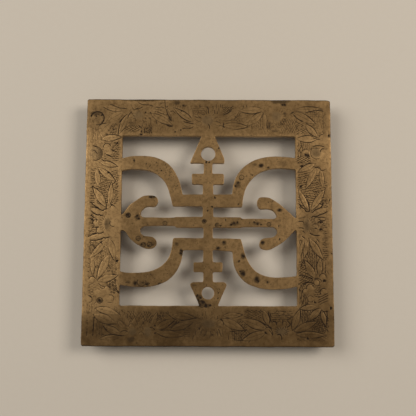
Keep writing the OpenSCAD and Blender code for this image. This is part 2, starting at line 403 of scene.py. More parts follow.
# base x and y, tip x and y, width, how strongly the left and the right edge are cut, and the bow
left_leaves = [
    (-52.8, 69.2, -66.2, 71, 3.8, 0.65, 0), (-53, 68, -64, 61.2, 5, 0.3, 0.4),
    (-50.8, 66.4, -56.2, 53.4, 4, 0.45, 0.95, 0.02), (-61, 60.6, -66.2, 51, 6.4, 0, 0.55, -0.2),
    (-66.8, 50.2, -53.5, 51.8, 4.2, 0.85, 0.75, 0.03), (-67.2, 36, -55.8, 33.2, 3.6, 0.95, 0.8),
    (-68.4, 32.6, -56.8, 23.6, 3.9, 1, 0.7), (-69, 31, -67.6, 20.3, 4, 0.65, 0.5),
    (-62.6, 7.8, -71.6, 21, 4.4, 0.85, 0.9, -0.02), (-61, 8.8, -59.6, 24, 3.6, 0.75, 0.7, -0.02),
    (-63.6, 4.6, -72.4, 6.6, 2.6, 0, 0), (-63, -9.6, -73, -11, 3, 0, 0),
    (-62.4, -12.2, -72.4, -23.6, 4, 0.45, 0.65, 0.03), (-60.4, -11.2, -56.8, -25, 4.2, 0.5, 0.75, 0.02),
    (-60.2, -21.2, -67.4, -36.6, 4.8, 0.6, 0.8), (-70.4, -22.8, -69.6, -34.4, 3, 0.6, 0.5),
    (-67, -37, -54.2, -33.6, 4.4, 0.65, 0.8), (-67.8, -53.4, -52.6, -57.2, 4.4, 0.7, 0.6, 0.02),
    (-68.8, -57, -54.6, -62.6, 5.6, 0.6, 0.95), (-62.8, -63.8, -50.2, -69.6, 4.2, 0.6, 0.95),
    (-51.6, -69.8, -65.2, -71.4, 3.6, 0.3, 0.5),
]
right_leaves = [
    (67.2, 51, 54, 51.1, 4.6, 0.85, 0.75), (66, 35.6, 54.8, 30, 3.9, 0.6, 0.95),
    (66.6, 33.2, 59.7, 19.4, 3.9, 0.6, 0.6), (69.2, 32.4, 70.4, 19.8, 3.2, 0.5, 0.6),
    (61.4, 6.2, 55, 20.4, 3.5, 0.85, 0.7), (62.8, 6.2, 71.9, 20, 4.1, 0.7, 0.85),
    (63.8, 3.8, 73, 7.4, 3.2, 0, 0), (61.4, -10.6, 70, -24, 4.2, 0.7, 1),
    (60, -11.6, 58.4, -23, 3.4, 0.6, 0.7), (58.2, -11.4, 55.8, -21.6, 2.6, 0.5, 0.55),
    (67.4, -33.4, 68, -21.8, 3.6, 0.75, 0.7), (64.9, -35.2, 58.4, -23.6, 4.3, 0.7, 0.85),
    (65.2, -51.8, 54.8, -53.2, 3.8, 0.85, 0.85), (68, -52.8, 60, -60.4, 4.2, 0.7, 0.8),
    (68.4, -53.8, 70.8, -64, 3.1, 0.95, 1),
]
top_leaves = [
    (-36, 66.8, -22.2, 59.2, 4.2, 0.6, 0.8), (-34.6, 69.4, -23.4, 64, 3.2, 0.45, 0),
    (-26.6, 71, -21.8, 61.8, 3.4, 0.3, 0), (-9.6, 61.6, -22.2, 70.8, 4, 1, 0.85),
    (-10.3, 63.6, -12.4, 73, 2.6, 0.35, 0.4), (9.2, 62.6, 19.4, 69, 4.8, 0.25, 0.5),
    (34.4, 69.6, 18.2, 68.8, 4.6, 0.9, 0.45), (33.8, 68, 23.8, 59.2, 4.6, 0.55, 0.5),
    (8.8, 59.6, 25, 58.6, 4.2, 0.7, 0.75), (34.8, 68.4, 34.8, 55, 2.8, 0.35, 0.45),
    (53.8, 69.6, 70.6, 70.4, 3.6, 0.7, 0.5), (51.8, 68.2, 66.8, 60.6, 4.9, 0.85, 0.6),
    (60, 60.6, 68.4, 51.6, 4, 0.9, 0.75),
]
bottom_leaves = [
    (-49.6, -65.6, -54.8, -59.8, 3.2, 0.35, 0.4), (-47.4, -64.6, -49.6, -58.8, 2.9, 0.35, 0.35),
    (-44.6, -64.2, -44, -58.4, 2.9, 0.4, 0.4), (-42, -65, -39.4, -59.4, 2.7, 0.4, 0.35),
    (-33.6, -64.4, -30.4, -55.2, 3.2, 0.5, 0.55), (-31.2, -65.6, -20, -59.6, 4.6, 0.5, 0.6),
    (-21.4, -57.4, -7.4, -58.8, 4.4, 0.6, 0.7), (-22.8, -65.8, -8.8, -61.6, 4.4, 0.45, 0.65),
    (-31, -67.6, -14, -69.4, 4.4, 0.6, 0.75), (9.2, -57.5, 21, -57, 3.4, 0.6, 0.6),
    (8, -59.6, 22.8, -66.4, 5.2, 0.75, 0.8), (36, -65.4, 19.4, -59.2, 5.4, 0.8, 0.85),
    (34.8, -67.2, 20.2, -72.2, 4.8, 0.5, 0.75), (36.4, -63, 33.4, -53.6, 3.8, 0.75, 0.85),
    (50.6, -66, 55.4, -53, 4.4, 0.8, 0.9), (51.6, -66.6, 66.2, -60.4, 4.6, 0.85, 0.75),
    (52.8, -68.4, 71.2, -68.8, 4.2, 0.85, 0.65),
]
for measures in left_leaves + right_leaves + top_leaves + bottom_leaves:
    leaf(*measures)


def ring(x, y, radius, start=0, end=360, dirt=0.6):
    """A round cut, or the part of one between two angles."""
    count = max(5, round(math.radians(end - start) * radius / 0.5))
    face.cut(arc(x, y, radius, np.radians(np.linspace(start, end, count))), ring_width, dirt)


def flower(x, y, wide, high):
    """A flower's middle: a smooth oval that has stayed dull."""
    for layer, radius in ((face.kept, 0.5), (face.dull, 0.45)):
        face.fill(layer, (x, y) + circle(0, 0, radius, flower_points) * (wide, high))


def teeth(x, y, wide, high, number, dirt):
    """Short cuts that stand all round the edge of a flower's middle."""
    for turn in np.radians(np.linspace(0, 360, number)):
        outward = np.array([math.cos(turn) * wide, math.sin(turn) * high]) / 2
        face.cut([(x, y) + outward * share for share in (0.6, 0.8, 1.02)], tooth_width, dirt)


# middle, width, height
for measures in (
    (-70, 41.3, 8.6, 8.6), (-61.7, -2.3, 4.4, 8.4), (60.3, -2.7, 4.8, 9), (-45.2, -67.1, 5.2, 5.2),
    (-36.1, -67.2, 4.8, 6.4), (-44, 65.8, 7, 6), (66.6, 42.4, 6.8, 6.8), (44.3, -66.6, 8.4, 5),
    (-0.6, 62.6, 8.4, 6.4), (0.6, -62.2, 9, 5.6), (42.4, 65.4, 6.6, 6.4),
):
    flower(*measures)
teeth(44.3, -66.6, 8.4, 5, 15, 0.5)

rng = np.random.default_rng(5)


def fan(x, y, inner, outer, number, start, end, dirt):
    """Narrow petals that stand round a flower's middle: pairs of short cuts that meet outwards."""
    half = math.radians((end - start) / (number - 1)) * 0.42
    for turn in np.radians(np.linspace(start, end, number)):
        for side in (-1, 1):
            lean = side * half
            spread = ((inner, lean), ((inner + outer) / 2, lean), (outer, lean * 0.25))
            path = [(x + r * math.cos(turn + a), y + r * math.sin(turn + a)) for r, a in spread]
            face.cut(through(path, 3), petal_width, dirt * rng.uniform(0.6, 1.2))


# middle, distances to the petals' feet and tips, number of petals, angles they stand between, strength
for measures in (
    (-0.4, 62.2, 4.6, 8.2, 9, -15, 195, 0.36), (0.4, -62, 4.9, 8.6, 9, 165, 375, 0.32),
    (-44, 65.4, 4, 6.6, 8, -30, 215, 0.25), (42.6, 65, 3.8, 6.4, 8, -90, 60, 0.3),
    (-45.2, -67.1, 2.9, 5.4, 7, 20, 200, 0.22), (-36.1, -67.2, 2.9, 5.6, 6, 0, 160, 0.22),
    (-61.7, -2.3, 3.2, 5.6, 7, 120, 240, 0.35), (60.3, -2.7, 3.4, 5.6, 7, -60, 60, 0.35),
):
    fan(*measures)

# middle, radius, the angles it runs between, strength
petals = [
    (-69.3, 63.8, 4.3, -100, 165, 0.62), (-69.2, 63.9, 3.8, -50, 172, 0.55),
    (-69.3, 63.8, 2.4, 40, 150, 0.4), (-70, 41.3, 4.3, -110, 105, 0.6),
    (-70.1, 41.2, 3.7, -70, 80, 0.35), (66.8, 42.2, 3.7, 140, 300, 0.5),
    (-62.9, 45.3, 2.4, 20, 175, 0.7), (-61.6, 42, 2.1, -130, 60, 0.35), (-58.6, 7.6, 1.5, 20, 165, 0.9),
    (-58, -1.8, 2.2, 150, 285, 0.6), (-68.4, -1.6, 1.9, 60, 240, 0.5),
    (-66.6, -6.4, 1.7, 120, 260, 0.4), (-70, -36.3, 2, 20, 160, 0.8), (-71.9, -48, 2.2, -80, 80, 0.5),
    (-58.8, -47.6, 2.2, -20, 110, 0.6), (-61.3, -42.4, 2.3, 20, 110, 0.5),
    (-63.5, -40, 1.6, 190, 330, 0.6), (-66.4, -44, 2.2, 60, 150, 0.3), (71, 43.2, 1.8, 60, 190, 0.8),
    (60.2, 42, 2.6, 60, 200, 0.5), (67.4, 31.4, 2.1, 30, 130, 0.6), (66.2, 0.6, 1.5, 60, 200, 0.45),
    (65.6, -3.4, 1.6, -40, 130, 0.4), (69.4, -34.2, 2.1, 0, 170, 0.8), (65.7, -37.6, 1.8, 0, 360, 0.5),
    (61.6, -40.4, 2, 10, 170, 0.7), (59, -42.9, 1.9, 60, 200, 0.6), (69.8, -43.2, 2.2, 60, 210, 0.9),
    (61.8, -47.3, 1.9, 30, 330, 0.5), (-40, -69, 1.7, 0, 150, 0.4), (-46, -64, 1.6, 20, 170, 0.4),
    (-46.4, 62.8, 1, -60, 160, 0.4), (39.9, -62.3, 1.5, 20, 150, 0.6), (42.6, -62.2, 1.4, 20, 160, 0.4),
    (45.9, -62, 1.4, 20, 160, 0.45), (-46, 71, 1.7, 180, 330, 0.5), (6, 62.4, 1.2, 0, 360, 0.25),
    (7.5, 58, 1.4, -60, 150, 0.4), (7.2, -62, 1.9, 60, 200, 0.3),
]
for x, y, radius, start, end, dirt in petals:
    face.fill(face.kept, circle(x, y, radius, 18))
    ring(x, y, radius, start, end, dirt)

# strength, then x and y of each place the cut runs through
strokes = [
    (0.6, -61.5, 72.7, -58, 71.3, -55.5, 70.3, -51.5, 70), (0.3, -48.5, 73, -48.5, 67.5),
    (0.7, -48.3, 67.6, -49.8, 66, -50.4, 63.8), (0.4, -48.2, 67.3, -46.6, 65.2),
    (0.95, -54.4, 62.8, -55.6, 61.2), (0.8, -43.5, 59.4, -43, 58.6, -41.8, 58),
    (0.6, -45.5, 70, -43.5, 70, -41.5, 71), (0.95, -63.2, 40.6, -61.8, 40.3, -60.3, 39.3),
    (0.8, -59.8, 43.4, -58.4, 43.2, -57.4, 42.4), (0.7, -65.8, 37.6, -64.8, 36.8, -64, 36.6),
    (0.9, -71.8, 10.8, -70.6, 9.4, -68.6, 8.2, -67.2, 7.4),
    (1, -71.6, 8, -69.5, 7.8, -67.5, 7, -64.6, 5.8, -63.8, 6.5, -62, 6.8),
    (0.6, -62.4, 7, -62.5, 9.5, -63.2, 11.2), (0.7, -59.4, 9.4, -59.8, 10.8),
    (1, -71.6, 5.5, -70.4, 4.5, -68.7, 3.4, -67.6, 3, -66.3, 3.2, -65.9, 2.6, -64.7, 3),
    (0.8, -71.4, 2.6, -70.4, 1.7), (1, -71.8, 0.8, -71, 0), (0.7, -70.6, 0.6, -70.5, -2.4),
    (0.7, -68.8, 0.9, -68.1, -0.2, -68.4, -1), (1, -70.4, -4.3, -68.7, -4.5, -67, -4.4),
    (0.6, -68.2, -4.9, -68.2, -6.4, -68.5, -8.1),
    (0.8, -73.2, -10.2, -70.8, -9.2, -68.6, -8.5, -65.6, -8.2, -63.9, -7.5),
    (1, -71.6, -12.5, -69.4, -12.5, -67.4, -12.3, -65.6, -11.8, -63.9, -11, -62.4, -11.1, -60.2, -10.5),
    (1, -67, -12.2, -65.4, -11.9, -64.4, -11.4), (0.6, -66, -38.6, -64.4, -40, -62.4, -40.5),
    (0.6, -59.6, -45.4, -58, -45.5), (0.5, -60.4, -49.8, -58, -49.9), (0.6, -72, -45.8, -70.4, -46.9),
    (0.55, -63.4, -69, -60.4, -69.3, -57, -69), (0.85, -68.3, -58.6, -68.5, -64, -68.8, -69.6),
    (0.5, -72.6, -58, -72.4, -64, -72.6, -69.6), (0.7, -62.4, -64, -61.4, -65.6, -60.6, -66),
    (0.6, -44, 73.8, -41, 72.6, -37.4, 72.4, -34.8, 71.6),
    (0.65, -27.4, 75.4, -27.2, 72, -26.4, 69, -25.4, 66.2, -24.4, 64, -23.4, 62.6),
    (0.5, -33.5, 68.2, -30, 67, -26, 66), (0.95, -25.8, 59.2, -24.2, 58.8, -22.8, 58.7),
    (0.5, -34, 70.4, -31, 70.8, -28, 70.8), (0.6, -32.8, 62.2, -32.2, 60.2),
    (0.5, -24, 68, -22.4, 68.6, -20.8, 67.2), (0.65, -16.2, 57.2, -14, 57.7, -11.4, 57.6, -9.6, 58.5),
    (0.9, -15.4, 61.7, -12.4, 61, -9.6, 60.4), (0.4, -15.2, 59.2, -13.2, 58.7, -11.4, 59.3),
    (0.4, -10, 65.5, -8.4, 65.2, -7, 64.3), (0.8, -1.5, 71.2, -0.6, 71, -0.2, 69, 0, 67.2),
    (0.8, 0, 60, 0.5, 58.8, 0.4, 57.4), (0.8, 9.5, 66.3, 11.6, 67.3, 14, 68.9),
    (0.8, 9.2, 60.8, 9, 59.2, 9.8, 58.1), (0.6, 21.6, 71.9, 21.8, 71), (0.6, 23.6, 72.4, 23.7, 71.2),
    (0.45, 36.2, 61.8, 36.4, 58), (0.5, 37.6, 61.6, 37.8, 57.4), (0.35, 39, 56.4, 41, 56.1, 44, 56.2),
    (0.6, 51.2, 67, 52.2, 67.9, 53.2, 67.6), (0.75, 53.6, 65.8, 54.8, 64.3, 56.6, 63.2, 58.4, 62.4),
    (0.6, 65, 51.7, 67, 51.1, 69, 50.7), (0.6, 68.7, 52.4, 69.5, 53.7, 71, 54.1),
    (0.25, 71.2, 57, 71.3, 60, 71.3, 66.4), (0.6, 60.4, 67.6, 64, 68.8, 68, 69.3, 71.4, 68.8),
    (0.8, 65, 46.3, 67, 46.9, 69.4, 46.8, 71.6, 46.1), (0.45, 63.8, 45.2, 66, 45.3, 69, 45.3),
    (0.6, -71.8, 43.5, -70.2, 43, -69, 41.2), (0.5, -71.8, 46.4, -70, 46, -68.4, 45.2),
    (0.6, 64.6, 33.6, 67, 33.2, 68.6, 32.2, 70.1, 31.2, 72, 31.8),
    (0.85, 55.9, 9.9, 57.5, 8.2, 59.2, 7, 60, 5.6, 61.7, 5.7), (0.85, 61.9, 6, 61.9, 8.6, 61.5, 11.4),
    (0.95, 63.2, 5.4, 63.9, 5.3, 65.1, 6.5, 67.2, 7.4, 68.8, 8.2, 69.7, 9.5, 70.3, 11.2),
    (0.95, 63.4, 2.1, 64.1, 2.8, 66.3, 2.7, 68.4, 3.8, 70.5, 4.5, 73, 5.7),
    (0.8, 67.4, 2, 69.4, 2.2, 71.6, 1.8), (0.8, 67.6, 0.9, 69.6, -0.1, 71.8, 0.7),
    (1, 67, -1.3, 67.8, -0.5, 70, -1.1), (0.8, 65.2, -4.5, 66.4, -5),
    (1, 67.8, -5.3, 68.6, -5, 69.6, -5.4), (0.95, 62.1, -7.7, 63.8, -8.6, 65.8, -9, 67.8, -9),
    (0.9, 55.4, -0.4, 57, -0.4, 58, -0.7), (0.4, 54.8, 1.1, 57.4, 1.9, 59.2, 2.4),
    (0.8, 55.4, -4.4, 57, -4.4, 58, -4.7), (0.7, 57.8, -6.4, 58.8, -7.3),
    (0.9, 57.4, -9.6, 58.8, -10.6), (0.8, 66.2, -11.2, 67.6, -13),
    (0.85, 55.4, -33, 58.5, -33.5, 61, -34.5, 63.2, -35.6),
    (0.95, 57.5, -38.6, 59.5, -37.8, 61.4, -37.4, 63.2, -37.9),
    (0.7, 64.4, -35.6, 66, -35, 67.8, -35.6, 68.6, -36.8), (0.6, 66.6, -46.6, 69, -45.6, 72.2, -43.8),
    (0.6, 66.6, -48, 69, -46.9, 72.2, -45.2), (0.6, 66.6, -49.4, 69, -48.2, 72.2, -46.8),
    (0.5, 67.4, -50.6, 69.6, -49.4, 72.2, -48.4), (0.7, 64.2, -48.6, 64.8, -49.8),
    (0.95, 71.5, -54.8, 71.6, -57.4, 71.4, -60.4), (0.8, 72, -54.6, 70.6, -54.8, 69, -55),
    (0.9, 31, -60.6, 34, -62.4, 36.2, -63.4, 38.2, -64.8),
    (0.6, 34.4, -65, 35.6, -64.3, 36.8, -64.4, 38.2, -65.9, 39, -68.4),
    (0.6, 36.6, -65.9, 38, -67.5, 38.7, -68.9), (0.8, 34.1, -67.1, 35.4, -68),
    (0.9, 36.2, -55.1, 36.6, -56.8, 37.3, -58.6, 38, -61.1), (0.7, 37.2, -55.6, 38, -58),
    (0.85, 39, -60.6, 40.1, -61, 40.6, -60.8, 41, -62.6), (0.7, 44.9, -60.2, 44.9, -62.4),
    (0.4, 41.2, -62.4, 41.7, -64.4), (0.4, 47.4, -62, 46.7, -64.2),
    (0.8, 47.6, -60.4, 48.7, -61.5, 49.3, -62.5, 48.6, -63.6, 47.6, -64.1),
    (0.8, 41.9, -68.6, 43.3, -68.6, 44, -69.6, 44.2, -71.4), (0.6, 52.5, -67.5, 54.3, -67.5, 56, -67.3),
    (0.7, -23.5, -57.2, -20.6, -59.3, -19, -60), (0.95, -20, -60.8, -21.8, -62.2, -23.6, -63.6),
    (0.6, -18.8, -61.6, -20.4, -63.4, -22, -65), (0.7, -16, -60.5, -12, -60, -8, -59, -6.4, -58.9),
    (0.5, -17, -66, -15, -65.9, -13.4, -65.4), (0.6, -51.8, -67.1, -50, -66.6, -48.2, -67),
    (0.35, -52.4, -69.3, -51, -69.6), (0.6, -34.7, -64.6, -33, -64.9, -31.8, -66),
    (0.7, 7.6, -59.6, 9, -60.6), (0.6, 9.3, -61.4, 9.3, -63),
    (0.35, 5.2, -63.5, 6.4, -63.8, 7.6, -63.7), (0.5, 5.4, -66, 6, -69.4),
    (0.6, 6.4, -65.5, 7.2, -67.6, 8, -69.6), (0.4, 8.6, -66, 9.2, -69.6),
    (0.35, -3.4, -65.5, -4.4, -69), (0.35, -1, -65.5, -2, -69.4), (0.5, -8.6, -69.4, -9, -71.4),
    (0.5, -7.4, -66.5, -7.6, -69), (0.5, 12.3, -69.4, 12.4, -71.6),
]
# middle of a punched dot, strength
dot_radius = 0.35
for x, y, dirt in (
    (-39.4, 67.6, 0.6), (-36.3, 67.4, 0.6), (-39.3, 63.8, 0.5), (-36.6, 63.9, 0.5), (-20.8, 55.2, 0.6),
    (-17.3, 56.5, 0.6), (-17, 68.6, 0.5), (-31.6, -63.6, 0.6), (-31.6, -68, 0.7), (-5, -65.3, 0.7),
    (2.7, -68.7, 0.5), (-66.6, 65.6, 0.8), (-70, 65, 0.6), (-73.2, 65.4, 0.6), (-59, 56.6, 0.6),
    (-41.8, 55.2, 0.5),
):
    ring(x, y, dot_radius, 0, 360, dirt)
# x of an upright tick, y of its top and bottom, strength
for x, high, low, dirt in (
    (2.6, 71.6, 70, 0.6), (4.6, 73, 70.5, 0.5), (5.2, 68.8, 66.8, 0.6), (6.3, 70.2, 68.4, 0.7),
    (7.3, 72.8, 71.2, 0.6), (3.8, 69.2, 67.4, 0.5), (8.4, 72.4, 70.6, 0.5), (-5.6, 72.2, 70.8, 0.6),
    (-12, 71.4, 66.6, 0.25), (-8, 69.4, 67.8, 0.3), (-6.4, 69, 67.6, 0.3), (5.8, -57.8, -59.6, 0.5),
    (-3.5, -55.6, -57.4, 0.4), (-1.5, -55, -57, 0.4), (2.4, -55.2, -57, 0.45),
    (10.6, -65.6, -67.4, 0.3),
):
    strokes.append((dirt, x, high, x + 0.1, low))
for dirt, *places in strokes:
    face.cut(through(np.reshape(places, (-1, 2)), 4), 0.42 + 0.22 * dirt, dirt)


def crescent(x, y, size, turn):
    """The mark of a curved punch."""
    return arc(x, y, size, turn + np.radians([-75, -25, 25, 75]))


def dash(x, y, size, turn):
    """The mark of a straight punch."""
    return np.array([x, y]) + np.outer([-size, 0, size], [math.cos(turn), math.sin(turn)])


def pebble(x, y, size, turn):
    """The mark of a ring punch."""
    return arc(x, y, size, turn + np.radians([0, 60, 120, 180, 240, 300, 360]))


def line(x, y, size, turn):
    """A stroke long enough to run into the next one of its row."""
    return np.array([x, y]) + np.outer([-1.05, 0, 1.05], [size * math.cos(turn), size * math.sin(turn)])


# left, low, right, high, punch, direction in degrees, spacing along a row and between rows, dirt
ground = [
    (-73, 48, -67.5, 58.5, line, 90, 2.2, 1.5, 0.3),
    (-66.5, 52, -57.2, 60, pebble, 60, 1.5, 1.4, 0.4),
    (-65.5, 37.6, -59.6, 49.2, crescent, 90, 1.6, 1.5, 0.4),
    (-59.6, 36.5, -55.2, 49, dash, 0, 1.5, 1.15, 0.9),
    (-72.4, 9.8, -69.8, 32.4, dash, 0, 1.6, 1.15, 1.1),
    (-68.4, 9.8, -60.2, 26.8, dash, -15, 1.35, 1.1, 1.3),
    (-59.4, 9.4, -55.6, 31, dash, 15, 1.7, 1.1, 1.15),
    (-73, -9, -69.4, 4, dash, 10, 1.5, 1.2, 0.8),
    (-73, -20.8, -64.5, -13.4, pebble, 110, 1.7, 1.6, 0.45),
    (-70.2, -30, -60.4, -13, crescent, 35, 1.5, 1.4, 0.4),
    (-73, -35, -71.6, -23, dash, 0, 1.4, 1.3, 0.6),
    (-61.5, -34, -55, -21.5, pebble, 0, 1.75, 1.7, 0.38),
    (-62.5, -44.5, -55, -36.2, pebble, 100, 1.6, 1.5, 0.6),
    (-73, -47, -67, -37.5, crescent, 90, 1.7, 1.5, 0.4),
    (-73, -56, -66.5, -50, dash, 90, 1.8, 1.5, 0.35),
    (-67.6, -70.6, -62.4, -60, line, 90, 2.2, 1.5, 0.4),
    (-56.5, -56.5, -50.5, -45, crescent, 30, 1.7, 1.5, 0.35),
    (-49, -61, -42.6, -55.2, crescent, 10, 1.5, 1.3, 0.6),
    (-42.6, -60, -39.2, -55.4, crescent, 0, 1.6, 1.5, 0.4),
    (-39.2, -62, -33.2, -55.2, crescent, -10, 1.4, 1.25, 0.85),
    (-54, -64.5, -49, -57, dash, 80, 1.8, 1.5, 0.3),
    (-44, -66, -38, -60.5, dash, 100, 1.6, 1.4, 0.3),
    (-31, -73, -25, -70.4, dash, 90, 2, 1.4, 0.25),
    (-30.6, -60.6, -23.6, -55.4, pebble, 0, 2, 1.9, 0.5),
    (-24.6, -65.4, -16.5, -59.8, line, 45, 1.5, 1.2, 0.5),
    (-14.6, -70, -10.6, -65.2, dash, 0, 1.2, 1.2, 0.4),
    (-8, -59.4, 4.4, -57.6, dash, 90, 1.3, 1.2, 0.3),
    (14.2, -72.6, 20.2, -66.2, line, 90, 1.6, 1.3, 0.4),
    (14.2, -72.6, 20.2, -66.2, line, 0, 1.6, 1.3, 0.55),
    (20.2, -73, 25.2, -66, line, 45, 1.5, 1.2, 0.45),
    (20.2, -73, 25.2, -66, line, -45, 1.5, 1.4, 0.35),
    (17, -66, 24, -59.4, dash, 40, 1.9, 0.95, 0.85),
    (22, -59, 33.4, -54.6, crescent, 90, 1.4, 1.3, 0.65),
    (38.8, -59.8, 50, -54.6, line, 0, 2.2, 1.2, 0.55),
    (40.4, -69, 48.2, -64, dash, 90, 1.3, 1.1, 0.45),
    (55.6, -61.4, 64, -54, dash, 90, 1.3, 1, 0.95),
    (54, -73, 71, -70, crescent, 90, 1.8, 1.4, 0.3),
    (62, -67.4, 72.2, -57, crescent, 45, 1.25, 1.05, 1.15),
    (60.2, -33, 66, -12.5, dash, 90, 1.4, 1.3, 1.3),
    (55.6, -27, 60.6, -11.5, line, 90, 2, 1.25, 0.8),
    (55, -33, 60.2, -24.6, crescent, 100, 1.5, 1.3, 1),
    (69.9, -24, 72.4, -6.5, dash, 5, 1.4, 1.2, 1.3),
    (70, -32, 72.4, -24, line, 90, 2, 1.3, 0.6),
    (69.9, -4, 72.4, -1.8, dash, 5, 1.4, 1.1, 0.7),
    (55, -40, 64, -33.4, crescent, 100, 1.4, 1.15, 1.1),
    (55, -50.4, 60.6, -40, line, 88, 2, 1.2, 0.85),
    (64, -46.5, 68.2, -38.5, dash, 0, 1.5, 1.1, 1.1),
    (55.2, 7, 61.5, 16, line, -30, 1.5, 1.1, 0.65),
    (58.6, 9.6, 71, 18, dash, -8, 1.5, 1.35, 1),
    (55.2, 18, 71, 30.8, dash, 12, 1.5, 1.35, 1),
    (70.4, 20, 72.6, 26, dash, 0, 1.6, 1.2, 0.8),
    (68.6, 7.4, 72.8, 13.6, dash, 10, 1.7, 1.1, 0.95),
    (55.2, 35.4, 62.5, 40.2, crescent, 90, 1.3, 1.15, 0.95),
    (55.2, 40.2, 58.4, 49.4, line, 90, 2, 1.25, 0.55),
    (58.4, 44, 64, 49.4, dash, 80, 1.6, 1.3, 0.45),
    (54.6, 53.4, 63, 62, crescent, 90, 1.5, 1.25, 0.5),
    (65, 52.6, 69.2, 62.6, crescent, 45, 1.6, 1.4, 0.25),
    (62.6, 64.4, 69.6, 69, line, 0, 1.6, 1.3, 0.3),
    (62.6, 62.4, 69.6, 69, line, 90, 1.6, 1.3, 0.26),
    (70, 54, 72.4, 69.4, line, 90, 2.2, 1.3, 0.28),
    (44, 54.6, 54.6, 64, crescent, 0, 1.5, 1.25, 0.45),
    (38.8, 55.6, 44.2, 66.4, line, 0, 2, 1.3, 0.25),
    (36, 56.6, 38.9, 62.6, line, 90, 1.8, 0.9, 0.3),
    (24.6, 57.6, 34.4, 63.4, dash, 90, 1.4, 1.3, 0.45),
    (14.8, 62.2, 19.6, 67.2, line, 45, 1.5, 1.35, 0.33),
    (14.8, 62.2, 19.6, 67.2, line, -45, 1.5, 1.35, 0.33),
    (19.6, 61.2, 23.8, 66.4, line, 0, 1.8, 1.1, 0.3),
    (9.4, 67, 14.6, 71.4, line, 40, 1.6, 1, 0.65),
    (15, 70.6, 21.4, 73, dash, 90, 1.8, 1.4, 0.2),
    (-9.6, 66.4, -3, 71.6, line, 0, 1.6, 1.3, 0.3),
    (-22.6, 70.2, -12.6, 73, dash, 70, 1.8, 1.5, 0.35),
    (-35, 55.6, -18.8, 58.6, dash, 90, 1.9, 1.6, 0.2),
    (-34, 68.6, -28, 71.4, crescent, 90, 1.7, 1.5, 0.3),
    (-40.4, 53.6, -35.4, 58, dash, 90, 1.1, 0.6, 0.8),
    (-41, 57.8, -35.8, 63.4, line, 90, 2, 1.2, 0.35),
    (-53, 55, -41, 59, crescent, 90, 1.5, 1.3, 0.55),
    (-50, 58.4, -45, 63, pebble, 0, 1.75, 1.65, 0.4),
    (-40.6, 63, -35.6, 68.2, dash, 0, 1.5, 1.5, 0.25),
]
# how wide a punch cuts and how far its marks stray; the punched band lies inside the first of
# the four measures that follow and outside the others
punch_width = 0.42
stray = 0.12
band_outer = 72.8
band_inner_x = 55.1
band_inner_low = -54.2
band_inner_high = 54.3


def punch_ground(left, low, right, high, punch, degrees, along, between, dirt):
    """Rows of one punch over a patch of ground, each row half a step on from the last."""
    turn = math.radians(degrees)
    forward = np.array([math.cos(turn), math.sin(turn)])
    aside = np.array([-forward[1], forward[0]])
    middle = np.array([left + right, low + high]) / 2
    reach = math.hypot(right - left, high - low) / 2
    size = along * (0.5 if punch is line else 0.33)
    for row in range(-round(reach / between), round(reach / between) + 1):
        for number in range(-round(reach / along), round(reach / along) + 1):
            shift = (row % 2) / 2
            wander = rng.normal(0, stray, 3)
            place = middle + aside * row * between + forward * (number + shift) * along
            x, y = place + wander[:2]
            if left < x < right and low < y < high and free_ground(x, y):
                path = punch(x, y, size, turn + 2 * wander[2])
                face.cut(path, punch_width, min(1.0, 1.1 * dirt * rng.uniform(0.6, 1.3)))


def free_ground(x, y):
    """Whether a place lies on the engraved band and clear of the leaves and flowers."""
    on_band = abs(x) > band_inner_x or y < band_inner_low or y > band_inner_high
    place = np.array([[x, y]])
    return on_band and max(abs(x), abs(y)) < band_outer and face.read(taken, place)[0] < 0.25


taken = soften(face.kept, 4)
for measures in ground:
    punch_ground(*measures)
band = [
    (-band_outer, -band_outer), (band_outer, -band_outer), (band_outer, band_outer),
    (-band_outer, band_outer), (-band_outer, band_inner_high), (band_inner_x, band_inner_high),
    (band_inner_x, band_inner_low), (-band_inner_x, band_inner_low), (-band_inner_x, band_inner_high),
    (-band_outer, band_inner_high),
]
face.fill(face.ground, np.array(band))
face.ground = soften(face.ground * (face.kept == 0), 5)
